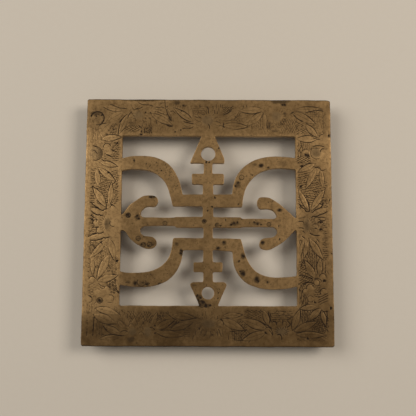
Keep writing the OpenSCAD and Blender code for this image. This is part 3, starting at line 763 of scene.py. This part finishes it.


# Wear and faults of the face: pits in the brass, most of them on the grille, with dirt in them,
# and soft stains, some with a dark rim, where drops have stood. Broad blotches among the stains are
# painted shade.
pits = [
    (-42, 53.5, 0.7), (-35.4, 14.3, 0.8), (-33.4, 14.6, 0.7), (-49.3, 3.2, 0.8), (-48.6, 2.3, 0.5),
    (-43.5, 2.6, 0.7), (-42.5, 0.8, 0.7), (-46, 37, 0.7), (-38.5, 35, 0.5), (-29, 30.8, 0.5),
    (-0.4, 6, 0.6), (-1.4, 36.2, 0.8), (0.4, 36, 0.6), (6.3, 45, 0.6), (32.5, 34.2, 1.1),
    (36.8, 33, 0.5), (18.2, 23.4, 0.7), (16.6, 21.2, 0.7), (27, 28.2, 0.5), (4, 14, 0.7),
    (18.3, 10, 0.5), (43.6, 6.6, 0.8), (2.3, 8.4, 0.7), (-38.6, -14.2, 0.4), (-40.4, -15, 0.5),
    (-36.4, -15.6, 0.5), (-33.6, -15.2, 0.5), (-34.8, -13.8, 0.4), (-16.3, -18.6, 0.8),
    (-16.6, -20.2, 0.8), (-44, -38.4, 0.8), (-37, -39, 0.7), (-29, -38.8, 0.5), (-2.6, -0.5, 0.7),
    (-6.5, -45.6, 0.8), (-4.4, -47, 0.7), (-6, -48.4, 0.8), (-3.2, -49.6, 1), (-5.2, -51.2, 0.9),
    (-1.2, -51.8, 1), (1.4, -51.4, 0.7), (7.5, -3.3, 0.6), (14, -2.7, 0.7), (15.8, -1.6, 0.6),
    (17.8, -1.2, 0.6), (28, -1, 0.6), (30, -2.2, 0.6), (32.2, -2.5, 0.6), (43, -3.3, 0.5),
    (9.4, -13.4, 0.7), (6, -17, 0.8), (18.8, -24.8, 0.6), (21.4, -21.8, 0.8), (21.2, -32.4, 1.2),
    (19.4, -31, 0.6), (29.4, -35.6, 1.1), (30.4, -37, 0.7), (36, -37.4, 0.5), (33, -13.4, 0.9),
    (43.5, -11.4, 0.6), (6.2, -44, 0.5), (6, -47.2, 0.5), (10.2, -16.4, 0.4), (-55.3, -25, 0.9),
    (-54, -43.8, 0.8), (74.5, 53.2, 0.6), (74.4, 12.8, 0.5), (74, -52.8, 0.9), (46, 72.8, 0.6),
    (47.6, 72.7, 0.6), (59.8, -70.8, 0.8), (-65.4, -48.8, 1), (60.2, 41, 0.8), (61.6, 40.7, 0.7),
    (57.6, 34, 0.9), (-61.7, 29.4, 0.8), (-65.1, -13.9, 0.6), (70.3, -36.4, 1), (-26, 71.3, 0.5),
    (34.6, -67.6, 0.7), (68.7, -5.2, 0.7), (68.6, -1, 0.6), (56.9, 21.2, 0.9), (-56.8, 47.8, 0.7),
    (64.4, -49.4, 0.6), (75, -20, 0.4), (-16, 72.2, 0.45),
]
for x, y, radius in pits:
    face.pit(x, y, radius, 0.2 + 0.12 * radius, 0.75)
# left, low, right, high, and how many small pits lie there
for left, low, right, high, count in (
    (-54, -54, 54, 54, 300), (-38, 28, -22, 37, 60), (-25, 16, -16, 30, 30), (14, 16, 30, 30, 40),
    (-9, -53, 9, -37, 30), (-46, -18, -30, -9, 16), (10, -4, 40, 2, 40), (-50, -42, -26, -32, 30),
):
    for _ in range(count):
        x = rng.uniform(left, right)
        y = rng.uniform(low, high)
        face.pit(x, y, rng.uniform(0.18, 0.38), rng.uniform(0.06, 0.14), rng.uniform(0.2, 0.7))

# Most are real stains where drops have stood. The broad ones, 20 mm wide or more, darken the borders and
# the near strip as painted shade, and the two long thin ones at y 76 are a painted shade line along the
# far edge.
# middle, width, height, strength
stains_and_shade = [
    (-49, 3, 3.6, 3.4, 0.8), (-43.2, 1.8, 3.8, 4.2, 0.7), (-34.5, 14.4, 4.6, 2.2, 0.9),
    (-42.7, -11.2, 3, 3, 0.5), (-39.5, -15, 4.6, 3.4, 0.55), (-35.4, -15.2, 4.6, 3.6, 0.55),
    (-32.6, -14.4, 2.8, 2.8, 0.5), (-26.5, -1.8, 2.8, 2.6, 0.4), (-2.4, -0.5, 3.4, 2.6, 0.6),
    (-19.2, -14.6, 3, 2.6, 0.65), (-16.4, -19.5, 2.4, 4.4, 0.9), (-48.3, -37.6, 3.4, 2.2, 0.6),
    (-44, -38.5, 3, 3.8, 0.75), (-40, -38.4, 5.4, 4, 0.5), (-36.6, -38.9, 2.6, 3.2, 0.75),
    (-29, -38.6, 3, 2.4, 0.55), (-22.6, -33.4, 3.4, 2.6, 0.35), (-5.4, -46.4, 4.4, 3.4, 0.7),
    (-4, -50.2, 5.4, 4.4, 0.95), (-0.4, -51.6, 4.6, 2.4, 0.95), (5.4, -2.9, 3.4, 2.8, 0.6),
    (16, -2, 6.4, 3.2, 0.65), (29.4, -1.8, 6, 3.4, 0.6), (37, -2.2, 3.2, 2.4, 0.45),
    (43.6, 6.5, 3.6, 2.4, 0.85), (39, 6.4, 2.2, 1.8, 0.45), (20.4, 26.6, 3.4, 3.6, 0.4),
    (18, 22, 4, 5, 0.65), (32.6, 34.2, 3.6, 3.2, 0.8), (28.4, 34.8, 3, 2.2, 0.55),
    (37, 33, 2.4, 2, 0.5), (46, 35.4, 9, 4.6, 0.4), (9.6, -13.8, 3, 3.6, 0.75),
    (6.2, -17, 3.6, 2.6, 0.75), (21.2, -21.8, 3, 4.4, 0.85), (18.6, -25, 2.4, 2.8, 0.5),
    (21, -32.2, 3.4, 4.4, 0.95), (29.6, -35.8, 4, 4.6, 0.85), (36, -37.4, 3, 2.4, 0.5),
    (33.2, -13.5, 2.8, 3, 0.85), (-42, 53.6, 3.4, 2, 0.5), (-8.6, -39.2, 4, 2, 0.5),
    (10, 49.6, 3, 2, 0.4), (7, 45, 3, 2.6, 0.35), (-46.2, -71.8, 4.6, 3.2, 0.85),
    (-44.8, -71.2, 2.6, 2.2, 0.7), (-42.4, -73.8, 1.4, 1, 0.8), (-65.2, -48.7, 4.6, 3.4, 0.65),
    (60.8, 40.8, 4.4, 3, 0.7), (44.6, 74.8, 12, 2.6, 0.9), (46.8, 72.8, 3.8, 2.4, 0.65),
    (47.5, 67.2, 2.4, 3, 0.6), (-70.4, 66.8, 6.4, 3.4, 0.75), (-67.4, 41.6, 4.4, 8, 0.5),
    (-20, 74, 5, 3, 0.75), (-24, 63.6, 3.6, 4.6, 0.6), (-25.8, 67.8, 2.4, 6, 0.35),
    (-15.4, 72, 3, 2.2, 0.6), (74.8, 53, 2, 3, 0.6), (-18.4, 55.4, 7, 2.6, 0.3),
    (37, 58.6, 3, 2.8, 0.4), (41.4, 56, 6.4, 2.2, 0.4), (-30, 73.6, 5, 1.6, 0.5),
    (-62.4, 53.4, 3, 2, 0.3), (70.6, 69.8, 3.4, 2.4, 0.35), (3, -68, 9, 6, 0.3),
    (-3.4, 67.4, 9, 4, 0.18), (60.3, -2.7, 4.8, 9, 0.55), (-61.7, -2.3, 4.4, 8.4, 0.5),
    (55.4, -9.4, 3, 3, 0.4), (-72.6, -55.8, 5, 1.6, 0.4), (-69.3, 63.6, 8.4, 8.4, 0.4),
    (-69, 63, 20, 26, 0.31), (66.4, 42.4, 6.6, 6.6, 0.4), (-38, -69, 12, 6, 0.2),
    (-63.4, -24.6, 7, 3.6, 0.2), (64, 0, 20, 22, 0.36), (64, -24, 20, 26, 0.25), (64, 50, 22, 26, 0.23),
    (-64, 44, 22, 22, 0.27), (-62, -64, 30, 20, 0.25), (-40.5, 76, 27, 2.4, 0.95),
    (-8, -64, 34, 20, 0.4), (-6, 76.2, 20, 2, 0.6),
]
for measures in stains_and_shade:
    face.stain_and_shade(*measures)
# the rims of old drops: middle, radius, and the angles between which one shows
for measures in (
    (-49, 2.9, 1.4), (-42.7, -11.2, 1.4), (-26.5, -1.9, 1.3), (20.4, 26.7, 1.5), (5.6, -2.9, 1.3, 60, 270),
    (-40.2, -37.6, 2.6, 150, 380), (-3.6, -50.6, 2), (37, -2.3, 1.2), (-65.2, -48.7, 1.7),
    (-39.6, -15.2, 1.4), (-35.8, -15, 1.4), (-2.5, -0.6, 1.2),
):
    ring(*measures)

# The outer edge is painted dark as painted shade: a thin line all round, darker along part of its far
# side, and a painted contact shadow along its near side.
edge_line = np.vstack([outlines[0], outlines[0][:1]])
x, y = edge_line.T
far_side = y > half_side - 1
near_side = y < 1 - half_side
edge_painted_shade = 0.22 + 0.12 * np.sin(x / 5 + y / 3)
edge_painted_shade[far_side] += 0.25
edge_painted_shade[far_side & (x > -54) & (x < -27)] = 1.0
edge_painted_shade[near_side] = 0.6
face.cut(edge_line, 0.9, edge_painted_shade)

# Files and hands have rounded the rim of every edge, and the wear runs a little way in from it.
# The edge rows are the distances at which a row of mesh points carries the round.
rim_width = 0.34
rim_drop = 0.3
wear_reach = 1.6
edge_rows = (0.05, 0.15, rim_width)
for outline in outlines:
    for where, gap in face.distances(np.vstack([outline, outline[:1]]), wear_reach):
        raise_to(face.near_edge, where, np.clip(1 - gap / wear_reach, 0, 1))

# Mesh points lie along every mark, thinned to a spacing. A loose net fills the squares that hold
# no mark, and no point comes nearer to the rows along the rim than the clearance.
mark_spacing = 0.13
clear_square = 0.75
rim_clearance = 0.12


def thin_out(points, spacing):
    """Points without those that share a square of that spacing with an earlier one."""
    squares = np.floor(points / spacing).astype(int)
    columns = np.ptp(squares[:, 1]) + 1
    _, first = np.unique(squares[:, 0] * columns + squares[:, 1], return_index=True)
    return points[np.sort(first)]


def loose_net(step, scatter):
    """Places a step apart over the whole plate, each moved a little at random."""
    steps = np.arange(-half_side, half_side, step)
    net = np.stack(np.meshgrid(steps, steps), -1).reshape(-1, 2)
    return net + rng.uniform(-scatter, scatter, net.shape)


def edge_gap(points):
    """How far each place is from the nearest edge, up to the reach of the wear."""
    return (1 - face.read(face.near_edge, points)) * wear_reach


def face_points():
    """Places of the mesh points inside the face: along every mark, and a loose net between."""
    marks = thin_out(np.vstack(face.points), mark_spacing)
    net = loose_net(step=1.35, scatter=0.3)
    crowd = set(map(tuple, np.floor(marks / clear_square).astype(int)))
    alone = [tuple(square) not in crowd for square in np.floor(net / clear_square).astype(int)]
    points = np.vstack([marks, net[alone]])
    points = points[in_brass(points, outlines)]
    return points[edge_gap(points) > rim_width + rim_clearance]


def triangles(points, edges):
    """A net of triangles over the brass, on the points and with the closed edges kept.

    The edges are given as rows of point numbers.
    """
    kept = [(int(a), int(b)) for row in edges for a, b in zip(row, np.roll(row, -1))]
    places, _, faces, origins, _, _ = delaunay_2d_cdt([Vector(p) for p in points], kept, [], 0, 1e-6)
    first = np.array([origin[0] if origin else -1 for origin in origins])
    if first.min() < 0:
        raise ValueError("two edges of the plate cross")
    faces = first[np.array(faces)]
    return faces[in_brass(points[faces].mean(1), [points[row] for row in edges])]


def rim_fall(gap):
    """How far the rounded rim has fallen at some distance from the edge."""
    share = np.clip(1 - gap / rim_width, 0, 1)
    return rim_drop * (1 - np.sqrt(1 - share**2))


def unevenness(points):
    """The slow waves of a hand-worked sheet, from nought down to a tenth of a millimetre."""
    x, y = points.T
    broad = np.sin(x / 11 + 1) * np.sin(y / 13)
    waves = broad + 0.5 * np.sin(x / 5.1 + y / 7.3) + 0.3 * np.sin(y / 4.1 - x / 9)
    return 0.05 * (waves / 1.8 + 1)


class Body:
    """A closed mesh that is put together from rows of points and sheets of triangles."""

    def __init__(self):
        self.points = []
        self.faces = []
        self.count = 0

    def add(self, points):
        """Adds points and gives their numbers."""
        self.points.append(points)
        self.count += len(points)
        return np.arange(self.count - len(points), self.count)

    def strip(self, upper, lower):
        """Closes the ring between two rows of equal length, facing away from the brass."""
        a, b = upper, np.roll(upper, -1)
        c, d = lower, np.roll(lower, -1)
        self.faces += [np.column_stack([a, c, d]), np.column_stack([a, d, b])]


def numbered(rows):
    """The point numbers of each row, for rows that are stacked from nought on."""
    ends = np.cumsum([0, *map(len, rows)])
    return [np.arange(a, b) for a, b in zip(ends[:-1], ends[1:])]


def raised(points, z):
    """Flat places with a height."""
    return np.column_stack([points, np.broadcast_to(z, len(points))])


plate_body = Body()
rim_rows = [outline + across(outline) * gap for gap in edge_rows for outline in outlines]
inner_points = face_points()
flat = np.vstack([*outlines, *rim_rows, inner_points])
rim_gaps = np.repeat([0.0, *edge_rows], sum(map(len, outlines)))
gaps = np.concatenate([rim_gaps, edge_gap(inner_points)])
ground_sink = 0.04
sunk = face.read(face.depth, flat) + ground_sink * face.read(face.ground, flat) + unevenness(flat)
top_z = face_z - rim_fall(gaps) - sunk * np.clip(gaps / rim_width, 0, 1)
top = plate_body.add(raised(flat, top_z))
top_edges = numbered(outlines)
plate_body.faces.append(triangles(flat, top_edges))

# Below the rim the wall runs down to the back, with the small steps of the saw in it.
# Each row of points has its inset from the outline, and its height as a share of the wall's.
wall_rows = ((0.03, 0.82), (-0.03, 0.55), (0.02, 0.3), (0.0, 0.1), (0.1, 0.03), (0.26, 0.0))
wall_height = face_z - rim_drop - back_z
saw_mark = 0.03
saw_mark_turn = 2.1
back_rows = []
for outline, row in zip(outlines, top_edges):
    for number, (inset, height) in enumerate(wall_rows):
        sawn = saw_mark * np.sin(np.arange(len(outline)) * saw_mark_turn + number) * (height > 0)
        held = outline + across(outline) * (inset + sawn)[:, None]
        held = np.clip(held, -half_side, half_side)
        below = plate_body.add(raised(held, back_z + wall_height * height))
        plate_body.strip(row, below)
        row = below
    back_rows.append((row, held))
wall_end = plate_body.count

# The back is plain, with a blind socket for each foot's spigot.
corners = ("front_left", "front_right", "back_left", "back_right")
feet_places = []
for corner in corners:
    foot_low, foot_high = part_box("foot_" + corner)
    feet_places.append(((foot_low.x + foot_high.x) / 2 / MM, (foot_low.y + foot_high.y) / 2 / MM))
socket_radius = 2.1
socket_depth = 1.8
socket_points = 28
socket_rows = []
for x, y in feet_places:
    rim = circle(x, y, socket_radius, socket_points)[::-1]
    mouth = plate_body.add(raised(rim, back_z))
    floor_row = plate_body.add(raised(rim, back_z + socket_depth))
    middle = plate_body.add(np.array([[x, y, back_z + socket_depth]]))
    plate_body.strip(floor_row, mouth)
    spokes = np.repeat(middle, socket_points)
    plate_body.faces.append(np.column_stack([floor_row, np.roll(floor_row, -1), spokes]))
    socket_rows.append((mouth, rim))
back_edges = [held for _, held in back_rows + socket_rows]
back_net = loose_net(step=2.6, scatter=0.6)
back_net = back_net[in_brass(back_net, back_edges)]
edge_margin = 0.9
back_net = back_net[edge_gap(back_net) > edge_margin]
clear_radius = socket_radius + 0.6
clear = [min(math.dist(p, place) for place in feet_places) > clear_radius for p in back_net]
back_net = back_net[clear]
back_flat = np.vstack([*back_edges, back_net])
net_numbers = plate_body.add(raised(back_net, back_z + 0.5 * unevenness(back_net[:, ::-1])))
numbers = np.concatenate([row for row, _ in back_rows + socket_rows] + [net_numbers])
back_faces = triangles(back_flat, numbered(back_edges))
plate_body.faces.append(numbers[back_faces][:, ::-1])


def make_mesh(name, points, faces):
    """A mesh object from points in millimetres, shaded smoothly with the broad faces leading."""
    mesh = bpy.data.meshes.new(name)
    mesh.from_pydata(points * MM, [], faces.tolist())
    mesh.shade_smooth()
    a, b, c = (points[faces[:, k]] for k in range(3))
    slopes = np.cross(b - a, c - a)
    normals = np.zeros_like(points)
    for k in range(3):
        np.add.at(normals, faces[:, k], slopes)
    normals /= np.maximum(np.linalg.norm(normals, axis=1), 1e-12)[:, None]
    mesh.normals_split_custom_set_from_vertices(normals)
    piece = bpy.data.objects.new(name, mesh)
    bpy.context.scene.collection.objects.link(piece)
    return piece


plate_points = np.vstack(plate_body.points)
plate_faces = np.vstack(plate_body.faces)
plate = make_mesh("engraved_plate", plate_points, plate_faces)


def note_on_plate(name, on_face, on_wall=0.0, on_back=0.0):
    """Gives each point of the plate a number that its finish can read, by the side it is on."""
    values = np.full(len(plate_points), on_back, np.float32)
    values[len(top):wall_end] = on_wall
    values[top] = on_face
    layer = plate.data.attributes.new(name, "FLOAT", "POINT")
    layer.data.foreach_set("value", values)


# Hands have rubbed the rim and the top of each wall. The polish layer also holds painted light: the face
# is painted brighter towards the far side and darker towards the near side, a little darker over the
# border, and the left and right borders are painted brighter, partly as rubbed brass and partly as painted
# sheen, the left one most towards the near side.
# The border begins at 0.68 of half the side, and counts in full from 0.78 of it on.
rubbed_wall = 1.2
wall_z = plate_points[len(top):wall_end, 2]
x, y = flat.T / half_side
border = np.clip(np.maximum(abs(x), abs(y)) * 10 - 6.8, 0, 1)
rubbed_and_sheen_sides = np.clip(abs(x) * 10 - 6.8, 0, 1) * np.clip(5.3 - abs(y) * 6.6, 0, 1)
rubbed_and_painted_sheen = np.where(x < 0, 0.92 - 0.6 * y, 0.18 + 0.2 * y)
# The dirt layer holds the dirt in the cuts and pits, and the painted shade line along the outer edge.
note_on_plate("dirt", face.read(face.dirt, flat))
note_on_plate("wear", np.clip(1 - gaps / wear_reach, 0, 1), wall_z > face_z - rubbed_wall)
note_on_plate("ground", face.read(face.ground, flat))
note_on_plate("dull", face.read(soften(face.dull, 5), flat), 0.3, 0.9)
note_on_plate("sawn", 0.0, 1.0)
note_on_plate("stains_and_painted_shade", face.read(face.stains_and_shade, flat))
note_on_plate("polish_and_painted_sheen", 0.51 + 0.16 * y - 0.16 * border + rubbed_and_sheen_sides * rubbed_and_painted_sheen, 0.4, 0.4)


class Value:
    """A number or vector that changes over a surface; sums on numbers add their Math nodes."""

    def __init__(self, finish, socket):
        self.finish = finish
        self.socket = socket

    def maths(self, operation, first, second, clamp=False):
        """One Math node."""
        settings = {"operation": operation, "use_clamp": clamp}
        return self.finish.node("ShaderNodeMath", settings, {0: first, 1: second})

    def __add__(self, other):
        return self.maths("ADD", self, other)

    def __radd__(self, other):
        return self.maths("ADD", other, self)

    def __sub__(self, other):
        return self.maths("SUBTRACT", self, other)

    def __rsub__(self, other):
        return self.maths("SUBTRACT", other, self)

    def __mul__(self, other):
        return self.maths("MULTIPLY", self, other)

    def __rmul__(self, other):
        return self.maths("MULTIPLY", other, self)

    def between(self, low, high):
        """Nought up to low, one from high on, and a straight rise in between."""
        return self.maths("MULTIPLY", self - low, 1 / (high - low), clamp=True)


class Finish:
    """One material and its nodes."""

    def __init__(self, name):
        self.material = bpy.data.materials.new(name)
        self.material.use_nodes = True
        self.tree = self.material.node_tree
        self.tree.nodes.clear()
        self.place = self.node("ShaderNodeTexCoord", {}, {}, "Object")

    def node(self, kind, settings, inputs, output=0):
        """Adds a node: its settings first, then the values or links of its sockets."""
        made = self.tree.nodes.new(kind)
        for name, value in settings.items():
            setattr(made, name, value)
        for name, value in inputs.items():
            if isinstance(value, Value):
                self.tree.links.new(value.socket, made.inputs[name])
            else:
                made.inputs[name].default_value = value
        return Value(self, made.outputs[output])

    def noise(self, size, detail, roughness=0.5, stretch=None):
        """Cloudy noise whose blotches measure about size, in millimetres, along each axis."""
        place = self.place
        if stretch:
            turn, scale = stretch
            settings = {"vector_type": "POINT"}
            inputs = {"Vector": place, "Rotation": (0, 0, math.radians(turn)), "Scale": scale}
            place = self.node("ShaderNodeMapping", settings, inputs)
        inputs = {"Vector": place, "Scale": 1 / (size * MM), "Detail": detail, "Roughness": roughness}
        return self.node("ShaderNodeTexNoise", {}, inputs)

    def blend(self, share, first, second):
        """Two colours mixed by a share."""
        settings = {"data_type": "RGBA", "blend_type": "MIX", "clamp_factor": True}
        return self.node("ShaderNodeMix", settings, {0: share, 6: first, 7: second}, 2)

    def read(self, name):
        """A number that the mesh carries."""
        return self.node("ShaderNodeAttribute", {"attribute_name": name}, {}, "Fac")

    def bump(self, height, depth):
        """A normal from a height, whose full range is that deep in millimetres."""
        inputs = {"Height": height, "Strength": 1.0, "Distance": depth * MM}
        return self.node("ShaderNodeBump", {}, inputs, "Normal")

    def surface(self, **sockets):
        """The shader and the output. Names of sockets are given with underscores."""
        inputs = {name.replace("_", " "): value for name, value in sockets.items()}
        shader = self.node("ShaderNodeBsdfPrincipled", {}, inputs)
        output = self.tree.nodes.new("ShaderNodeOutputMaterial")
        self.tree.links.new(shader.socket, output.inputs["Surface"])
        return self.material


def colour(red, green, blue):
    """A colour given as it looks on a screen, from 0 to 255, as a shader takes it."""
    linear = [((c / 255 + 0.055) / 1.055) ** 2.4 for c in (red, green, blue)]
    return (*linear, 1.0)


def aged_brass(name):
    """Old brass: rubbed bright on its high places, brown between, with dirt in every cut, and painted
    sheen and painted shade over broad areas.
    """
    finish = Finish(name)
    cloud = finish.noise(34, 3)
    mottle = finish.noise(5, 4, 0.65)
    speck = finish.noise(1.6, 3, 0.7)
    grain = finish.noise(0.3, 2)
    dirt = finish.read("dirt")
    wear = finish.read("wear")
    ground = finish.read("ground")
    # Brightness here follows the polish layer, so it carries that layer's painted sheen and painted shade,
    # with cloud and mottle on top.
    polish_and_sheen = (finish.read("polish_and_painted_sheen") + cloud * 0.9 + mottle * 0.8).between(0.85, 1.85)
    body = finish.blend(polish_and_sheen, colour(84, 64, 40), colour(170, 137, 93))
    body = finish.blend(speck.between(0.47, 0.66) * 0.5, body, colour(80, 60, 36))
    body = finish.blend(ground * 0.16, body, colour(76, 56, 33))
    rubbed = wear.between(0.72, 1.0) * mottle.between(0.3, 0.6) * 0.45
    body = finish.blend(rubbed, body, colour(186, 151, 104))
    body = finish.blend(finish.read("dull") * 0.4, body, colour(96, 82, 62))
    # The sawn walls are painted lighter, as a painted highlight along the edges of the windows and of the
    # plate.
    body = finish.blend(finish.read("sawn") * 0.55, body, colour(200, 170, 124))
    # Real stains and the broad blotches of painted shade darken the colour here.
    stain_and_shade = (finish.read("stains_and_painted_shade") * (0.5 + speck)).between(0.16, 0.62) * 0.8
    body = finish.blend(stain_and_shade, body, colour(60, 45, 27))
    # Dirt in the cuts and pits, and the painted shade along the outer edge, darken the colour here.
    dirt_and_edge_shade = (dirt * (0.95 + speck * 0.8)).between(0.06, 0.62)
    body = finish.blend(dirt_and_edge_shade, body, colour(37, 25, 12))
    hairlines = finish.noise(0.5, 2, 0.5, (24, (1, 0.05, 1)))
    crossing = finish.noise(0.6, 2, 0.5, (-58, (1, 0.06, 1)))
    scratch = hairlines.between(0.62, 0.72) + crossing.between(0.64, 0.74)
    saw_lines = finish.noise(0.5, 2, 0.5, (0, (1, 1, 0.08))) * finish.read("sawn")
    relief = finish.bump(speck * 0.8 + grain * 0.5 - scratch * 0.25 + saw_lines * 0.9, 0.05)
    roughness = 0.48 - polish_and_sheen * 0.1 + speck * 0.12 + dirt_and_edge_shade * 0.25 + stain_and_shade * 0.12
    return finish.surface(
        Base_Color=body, Metallic=1 - dirt_and_edge_shade * 0.5 - stain_and_shade * 0.3, Roughness=roughness, Normal=relief,
        Specular_IOR_Level=0.25,
    )


plate.data.materials.append(aged_brass("aged_brass"))
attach(plate, "root")
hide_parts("plate")

# The feet are turned from brass bar: a round belly, a narrow waist and a flange under the plate.
# Each has a short spigot that goes up into its socket, and a centre mark in its sole.
points_round = 72
foot_top = back_z
spigot_top = foot_top + 1.6
belly = 4.5
waist = 2.9
flange = 4.4
spigot = 2.0
foot_profile = np.vstack([
    [(0.02, 0.42), (0.35, 0.32), (0.6, 0.08), (0.75, 0.02), (1.6, 0.0), (2.4, 0.02), (3.05, 0.06)],
    curve((3.2, 0.1), (3.4, 0.16), (3.55, 0.28), (3.64, 0.42), 6),
    curve((3.66, 0.46), (4.3, 0.62), (belly, 1.5), (belly, 2.46), 18),
    curve((belly, 2.5), (belly, 4.09), (waist, 4.09), (waist, 5.46), 26)[1:],
    curve((waist, 5.46), (waist, 7.1), (3.8, 7.5), (4.3, 7.56), 18)[1:],
    [(4.36, 7.6), (flange, 7.68), (flange, 7.9), (flange, 8.5)],
    [(4.38, foot_top - 0.06), (4.3, foot_top), (3.2, foot_top), (2.06, foot_top)],
    [(spigot, foot_top + 0.06), (spigot, foot_top + 1.4), (1.9, foot_top + 1.55)],
    [(1.7, spigot_top), (0.8, spigot_top), (0.02, spigot_top)],
])


def turned(name, x, y, profile, uneven=0.0, closed=False):
    """A lathe form from its radii and heights. Its profile ends by the axis, unless it is closed."""
    radii, heights = profile.T
    turn = np.arange(points_round) * 2 * math.pi / points_round
    lump = 1 + uneven * (np.sin(3 * turn + x) + 0.6 * np.sin(7 * turn + y) + 0.4 * np.sin(12 * turn))
    radius = 1 + np.outer((radii - radii.min()) / max(np.ptp(radii), 1e-9), lump - 1)
    out = radii[:, None] * radius
    rings = np.dstack([x + out * np.cos(turn), y + out * np.sin(turn), out * 0 + heights[:, None]])
    a = np.arange(len(radii) * points_round).reshape(-1, points_round)
    if closed:
        a = np.vstack([a, a[:1]])
    b = np.roll(a, -1, axis=1)
    lower, upper, lower_next, upper_next = a[:-1], a[1:], b[:-1], b[1:]
    ups = np.dstack([lower, lower_next, upper_next]).reshape(-1, 3)
    downs = np.dstack([lower, upper_next, upper]).reshape(-1, 3)
    return make_mesh(name, rings.reshape(-1, 3), np.vstack([ups, downs]))


def turned_brass(name):
    """Brass off the lathe, browned with age, with its tool lines still showing."""
    finish = Finish(name)
    cloud = finish.noise(6, 3)
    speck = finish.noise(0.9, 3, 0.6)
    tool_lines = finish.noise(0.34, 2, 0.4, (0, (0.03, 0.03, 1)))
    body = finish.blend(cloud.between(0.38, 0.64), colour(158, 126, 84), colour(112, 87, 56))
    body = finish.blend(tool_lines.between(0.5, 0.62) * 0.5, body, colour(88, 67, 42))
    body = finish.blend(speck.between(0.54, 0.7) * 0.5, body, colour(70, 54, 36))
    return finish.surface(
        Base_Color=body, Metallic=0.92, Roughness=0.34 + cloud * 0.16 + speck * 0.08,
        Normal=finish.bump(tool_lines * 1.2 + speck * 0.3, 0.04),
    )


foot_finish = turned_brass("turned_brass")
for corner, (x, y) in zip(corners, feet_places):
    foot = turned("turned_foot_" + corner, x, y, foot_profile)
    foot.data.materials.append(foot_finish)
    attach(foot, "root")
    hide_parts("foot_" + corner)

# Soft solder, of tin and lead, holds each foot to the back of the plate.
# It is run round the flange as a dull grey fillet, and is lumpy where it cooled.
solder_profile = np.vstack([
    curve((4.45, 8.05), (4.58, 8.5), (4.74, 8.66), (5.2, foot_top - 0.02), 9),
    [(5.3, foot_top), (4.9, foot_top), (4.46, foot_top), (4.43, 8.4)],
])[::-1]


def soft_solder(name):
    """Solder gone dull, with a grainy skin and darker stains of flux."""
    finish = Finish(name)
    cloud = finish.noise(2.2, 3)
    grain = finish.noise(0.35, 3, 0.6)
    body = finish.blend(cloud.between(0.36, 0.66), colour(138, 136, 130), colour(98, 94, 86))
    body = finish.blend(grain.between(0.55, 0.7) * 0.6, body, colour(70, 62, 50))
    return finish.surface(
        Base_Color=body, Metallic=0.75, Roughness=0.46 + grain * 0.2,
        Normal=finish.bump(grain + cloud * 0.8, 0.07),
    )


solder_finish = soft_solder("soft_solder")
for corner, (x, y) in zip(corners, feet_places):
    fillet = turned("solder_fillet_" + corner, x, y, solder_profile, uneven=0.022, closed=True)
    fillet.data.materials.append(solder_finish)
    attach(fillet, "root")
    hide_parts("solder_" + corner)

# The floor is a sheet of pale paper, wide enough for every view.
# Two soft boxes light it, a small warm one and a broad one, in a dimly lit room.
floor_reach = 1.5
floor_mesh = bpy.data.meshes.new("floor")
floor_corners = [(x * floor_reach, y * floor_reach, 0) for x, y in ((-1, -1), (1, -1), (1, 1), (-1, 1))]
floor_mesh.from_pydata(floor_corners, [], [(0, 1, 2, 3)])
floor = bpy.data.objects.new("floor", floor_mesh)
bpy.context.scene.collection.objects.link(floor)
paper = Finish("pale_paper")
fibre = paper.noise(3, 4, 0.6)
floor.data.materials.append(paper.surface(
    Base_Color=paper.blend(fibre * 0.3, colour(202, 193, 180), colour(192, 182, 168)),
    Roughness=0.85,
))


def soft_light(name, place, size, power, tint):
    """A square soft box that faces the middle of the plate."""
    lamp = bpy.data.lights.new(name, "AREA")
    lamp.size = size
    lamp.energy = power
    lamp.color = tint
    box = bpy.data.objects.new(name, lamp)
    box.location = place
    box.rotation_mode = "QUATERNION"
    box.rotation_quaternion = (-Vector(place)).to_track_quat("-Z", "Y")
    bpy.context.scene.collection.objects.link(box)


soft_light("key_from_the_right", (0.75, 0.28, 0.85), size=0.5, power=6.7, tint=(1.0, 0.94, 0.86))
soft_light("fill_from_the_left", (-0.9, 0.4, 0.95), size=0.9, power=10.6, tint=(1.0, 0.97, 0.92))

world = bpy.data.worlds.new("room")
bpy.context.scene.world = world
world.use_nodes = True
room_light = world.node_tree.nodes["Background"]
room_light.inputs["Color"].default_value = (1.0, 0.97, 0.93, 1)
room_light.inputs["Strength"].default_value = 0.2

# The camera looks almost straight down, from where the photograph was taken: the four corners
# of the plate fall where they do there.
camera_lens = bpy.data.cameras.new("camera")
camera_lens.sensor_width = 36
camera_lens.lens = 54.43
camera = bpy.data.objects.new("camera", camera_lens)
camera.location = (-0.0006, -0.03845, 0.39466)
camera.rotation_euler = (math.radians(6.865), math.radians(-0.088), math.radians(0.247))
bpy.context.scene.collection.objects.link(camera)
bpy.context.scene.camera = camera
bpy.context.scene.view_settings.view_transform = "Standard"
